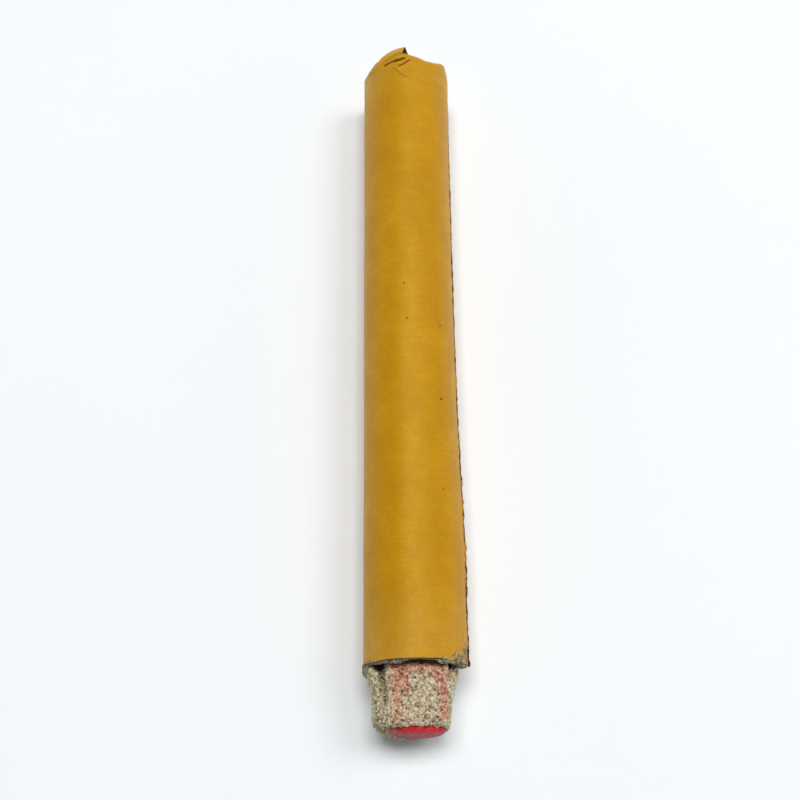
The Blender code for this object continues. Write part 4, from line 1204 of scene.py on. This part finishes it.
def dome_material():
    m = Nodes("red_striking_compound")
    tone = m.noise(520, 4, 0.6)
    colour = m.ramp(tone, [(0.32, srgb(176, 8, 22)), (0.52, srgb(214, 14, 32)), (0.70, srgb(228, 34, 46))])
    scratch = m.step(m.noise(1.0, 3, 0.55, m.scale(2400, 500, 700, turn=(0.3, 0.2, 0.8))), 0.64, 0.72)
    colour = m.mix(m.math("MULTIPLY", scratch, 0.22), colour, srgb(232, 104, 108))
    # painted shade on the lower face of the tip, with grime on its left
    colour = m.mix(m.math("MULTIPLY", m.att("grime_and_shade"), 0.75), colour, m.ramp(m.noise(700, 4, 0.65), [(0.36, srgb(100, 24, 28)), (0.50, srgb(138, 50, 54)), (0.66, srgb(166, 98, 92))]))
    dust = m.math("MULTIPLY", m.att("dust"), m.step(m.noise(1800, 3, 0.6), 0.48, 0.6))
    colour = m.mix(m.math("MULTIPLY", dust, 0.50), colour, srgb(204, 136, 126))
    crust = m.att("crust")
    grit = m.ramp(m.noise(1700, 4, 0.7), [(0.36, srgb(92, 74, 60)), (0.5, srgb(172, 156, 138)), (0.62, srgb(216, 206, 188))])
    crust = m.math("MULTIPLY", crust, m.step(m.noise(1100, 3, 0.6), 0.24, 0.40))
    colour = m.mix(m.math("MULTIPLY", crust, 0.9), colour, grit)
    rough = m.math("ADD", m.math("MULTIPLY", m.noise(900, 4, 0.6), 0.30), 0.38)
    rough = m.math("ADD", rough, m.math("MULTIPLY", crust, 0.35), clamp=True)
    h = m.math("ADD", m.math("MULTIPLY", m.noise(1500, 5, 0.65), 0.6), m.math("MULTIPLY", m.noise(7000, 2, 0.5), 0.15))
    m.set(Base_Color=colour, Roughness=rough, Normal=m.bump(h, 0.00016, 0.5))
    m.bsdf.inputs["Specular IOR Level"].default_value = 0.22
    return m.mat


def board_material(name, light, dark, seams=False):
    m = Nodes(name)
    tone = m.math("ADD", m.math("MULTIPLY", m.noise(700, 5, 0.65), 0.6), m.math("MULTIPLY", m.noise(1.0, 3, 0.6, m.scale(2600, 800, 2600)), 0.4))
    colour = m.ramp(tone, [(0.34, dark), (0.62, light)])
    speck = m.step(m.voronoi(1900, "Distance"), 0.16, 0.09)
    colour = m.mix(m.math("MULTIPLY", speck, 0.45), colour, srgb(52, 44, 36))
    if seams:
        colour = m.mix(m.math("MULTIPLY", m.att("seam"), 0.7), colour, srgb(48, 38, 28))
        # painted shade darkening the mouth of the tube
        colour = m.mix(m.math("MULTIPLY", m.att("mouth_shade"), m.noise(300, 3, 0.6)), colour, srgb(58, 50, 44))
    h = m.math("ADD", m.math("MULTIPLY", m.noise(2400, 5, 0.65), 0.7), m.math("MULTIPLY", m.noise(7000, 2, 0.5), 0.3))
    m.set(Base_Color=colour, Roughness=m.math("ADD", m.math("MULTIPLY", tone, 0.2), 0.75), Normal=m.bump(h, 0.00012, 0.6))
    m.bsdf.inputs["Specular IOR Level"].default_value = 0.3
    return m.mat


def powder_material(name, dark, mid, light, rough=0.88, scale=1500, depth=0.0002):
    m = Nodes(name)
    tone = m.math("ADD", m.math("MULTIPLY", m.noise(scale, 5, 0.7), 0.6), m.math("MULTIPLY", m.noise(scale * 0.22, 3, 0.5), 0.4))
    colour = m.ramp(tone, [(0.34, dark), (0.50, mid), (0.66, light)])
    crystal = m.step(m.voronoi(scale * 1.6, "Distance"), 0.17, 0.08)
    colour = m.mix(m.math("MULTIPLY", crystal, 0.5), colour, light)
    h = m.math("ADD", m.math("MULTIPLY", m.noise(scale * 1.2, 5, 0.65), 0.7), m.math("MULTIPLY", m.voronoi(scale * 1.5), 0.3))
    m.set(Base_Color=colour, Roughness=m.math("ADD", m.math("MULTIPLY", tone, 0.25), rough - 0.15), Normal=m.bump(h, depth, 0.7))
    m.bsdf.inputs["Specular IOR Level"].default_value = 0.4
    return m.mat


def dress(obj, mat):
    obj.data.materials.clear()
    obj.data.materials.append(mat)
    return obj


# ---------------------------------------------------------------- build the pieces
kraft = kraft_material("waxed_kraft")
kraft_ear = kraft_material("waxed_kraft_ear", inside=True)
grit = grit_material("abrasive_grit")
paste = grit_material("sealing_paste", paste=True)

wrapper = dress(make_wrapper(), kraft)
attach(wrapper, "flare")
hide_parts("outer_wrapper")

ear = dress(make_ear(), kraft_ear)
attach(ear, "flare")

casing = dress(make_casing(), board_material("grey_board", srgb(166, 156, 140), srgb(112, 100, 84), seams=True))
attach(casing, "flare")
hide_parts("casing_tube")

bead = dress(make_bead(), paste)
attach(bead, "flare")
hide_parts("mouth_seal")

block, block_grid, block_normal = make_block()
dress(block, grit)
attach(block, "striker")
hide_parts("striker_block")

tip = dress(make_tip(), dome_material())
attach(tip, "striker")
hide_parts("striking_tip")

# grains that stand out of the block
rng = np.random.default_rng(7)
flat = block_grid.reshape(-1, 3)
flat_n = block_normal.reshape(-1, 3)
free = np.nonzero((flat[:, 1] < -1.3) & (flat[:, 1] > NOSE - 0.4) & (np.hypot(flat[:, 0] + 0.34, flat[:, 2]) > tip_outline(np.arctan2(flat[:, 0] + 0.34, flat[:, 2])) + 0.05))[0]
pick = rng.choice(free, 900, replace=False)
grains = dress(make_grains("grit_grains", (flat[pick], flat_n[pick]), 0.12 + 0.17 * rng.random(900) ** 2, 8, 0.30), grit)
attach(grains, "striker")

# crumbs of paste on the rim
crumb_p, crumb_n = [], []
rng = np.random.default_rng(11)
for lo_deg, hi_deg, count, front_to in ((-101, -74, 60, 2.6), (-34, -12, 16, 0.7), (34, 50, 26, 0.6), (58, 90, 46, 0.9)):
    for _ in range(count):
        ang = rng.uniform(lo_deg, hi_deg) * RAD
        out_y = -rng.uniform(0.0, 1.0) * front_to * float(np.sin((ang / RAD - lo_deg) / (hi_deg - lo_deg) * math.pi)) ** 0.6
        rad = 11.0 + 0.2 * rng.random() if front_to > 1 else rng.uniform(10.3, 10.9)
        crumb_p.append((rad * math.sin(ang), out_y, rad * math.cos(ang)))
        crumb_n.append((math.sin(ang), -0.4, math.cos(ang)))
crumbs = dress(make_grains("paste_crumbs", (np.array(crumb_p), np.array(crumb_n)), 0.12 + 0.14 * rng.random(len(crumb_p)), 12, 0.35), paste)
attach(crumbs, "flare")

# ---------------------------------------------------------------- the inner pieces keep their CAD shape
board_plain = board_material("grey_board_inner", srgb(160, 150, 134), srgb(110, 98, 82))
inner = {
    "retaining_washer": board_plain,
    "tail_wad": board_plain,
    "tail_cover_disc": board_plain,
    "inner_liner": board_material("liner_paper", srgb(204, 186, 154), srgb(168, 146, 112)),
    "guard_disc": board_material("guard_paper", srgb(204, 186, 154), srgb(160, 138, 104)),
    "ignition_button": powder_material("ignition_compound", srgb(22, 20, 20), srgb(44, 40, 40), srgb(86, 80, 78), 0.62, 1700, 0.00014),
    "starter_charge": powder_material("starter_mix", srgb(62, 58, 58), srgb(92, 88, 86), srgb(140, 136, 132)),
    "tail_plug": powder_material("pressed_clay", srgb(140, 122, 98), srgb(172, 152, 126), srgb(200, 184, 160)),
}
pressed = powder_material("burning_composition", srgb(150, 84, 78), srgb(186, 116, 108), srgb(214, 156, 146))
for k in range(1, 6):
    inner[f"composition_pressing_{k}"] = pressed
for node, mat in inner.items():
    dress(NODES[node], mat)

# ---------------------------------------------------------------- floor and light
def make_floor():
    """A pale disc that sweeps up into a low, dimly glowing wall all round, far from the object."""
    profile = [(0.0, 0.0), (0.5, 0.0), (1.2, 0.0), (2.0, 0.0), (2.8, 0.0), (3.3, 0.0)]
    profile += [(3.3 + 1.1 * math.sin(t), 1.1 - 1.1 * math.cos(t)) for t in np.linspace(0.1, math.pi / 2, 12)]
    profile += [(4.4, 1.5), (4.4, 2.1)]
    cols = 96
    verts = [(r * math.cos(t), r * math.sin(t), z - 0.00003) for r, z in profile[1:] for t in np.arange(cols) / cols * 2 * math.pi]
    verts.append((0.0, 0.0, -0.00003))
    faces = [(len(verts) - 1, j, (j + 1) % cols) for j in range(cols)]
    for i in range(len(profile) - 2):
        faces += [(i * cols + j, (i + 1) * cols + j, (i + 1) * cols + (j + 1) % cols, i * cols + (j + 1) % cols) for j in range(cols)]
    mesh = bpy.data.meshes.new("floor")
    mesh.from_pydata(verts, [], faces)
    mesh.shade_smooth()
    glow = mesh.attributes.new("glow", "FLOAT", "POINT")
    glow.data.foreach_set("value", [0.25 * float(ease((z - 0.01) / 0.9)) for _, _, z in verts])
    obj = bpy.data.objects.new("floor", mesh)
    bpy.context.scene.collection.objects.link(obj)
    return obj


floor = make_floor()
fm = Nodes("pale_floor")
fm.set(Base_Color=fm.ramp(fm.noise(9, 2, 0.5), [(0.3, (0.882, 0.912, 0.932, 1)), (0.7, (0.896, 0.926, 0.946, 1))]), Roughness=fm.math("ADD", fm.math("MULTIPLY", fm.noise(40), 0.1), 0.6), Emission_Strength=fm.att("glow"))
fm.bsdf.inputs["Emission Color"].default_value = (1, 1, 1, 1)
floor.data.materials.append(fm.mat)


def area(name, place, target, size_x, size_y, power, colour=(1, 1, 1)):
    data = bpy.data.lights.new(name, "AREA")
    data.shape = "RECTANGLE"
    data.size, data.size_y = size_x, size_y
    data.energy = power
    data.color = colour
    obj = bpy.data.objects.new(name, data)
    bpy.context.scene.collection.objects.link(obj)
    obj.location = place
    obj.rotation_euler = (Vector(target) - Vector(place)).to_track_quat("-Z", "Y").to_euler()
    return obj


area("softbox", (0.0, 0.78, 3.09), (0, 0, 0), 1.68, 1.02, 71.6)
area("side_box", (1.72, 0.72, 2.55), (0, 0, 0), 1.25, 1.20, 29.5)

world_data = bpy.data.worlds.new("studio")
world_data.use_nodes = True
world_data.node_tree.nodes["Background"].inputs["Color"].default_value = (1.0, 1.0, 1.0, 1)
world_data.node_tree.nodes["Background"].inputs["Strength"].default_value = 0.05
bpy.context.scene.world = world_data
bpy.context.scene.view_settings.view_transform = "Standard"
bpy.context.scene.view_settings.look = "None"
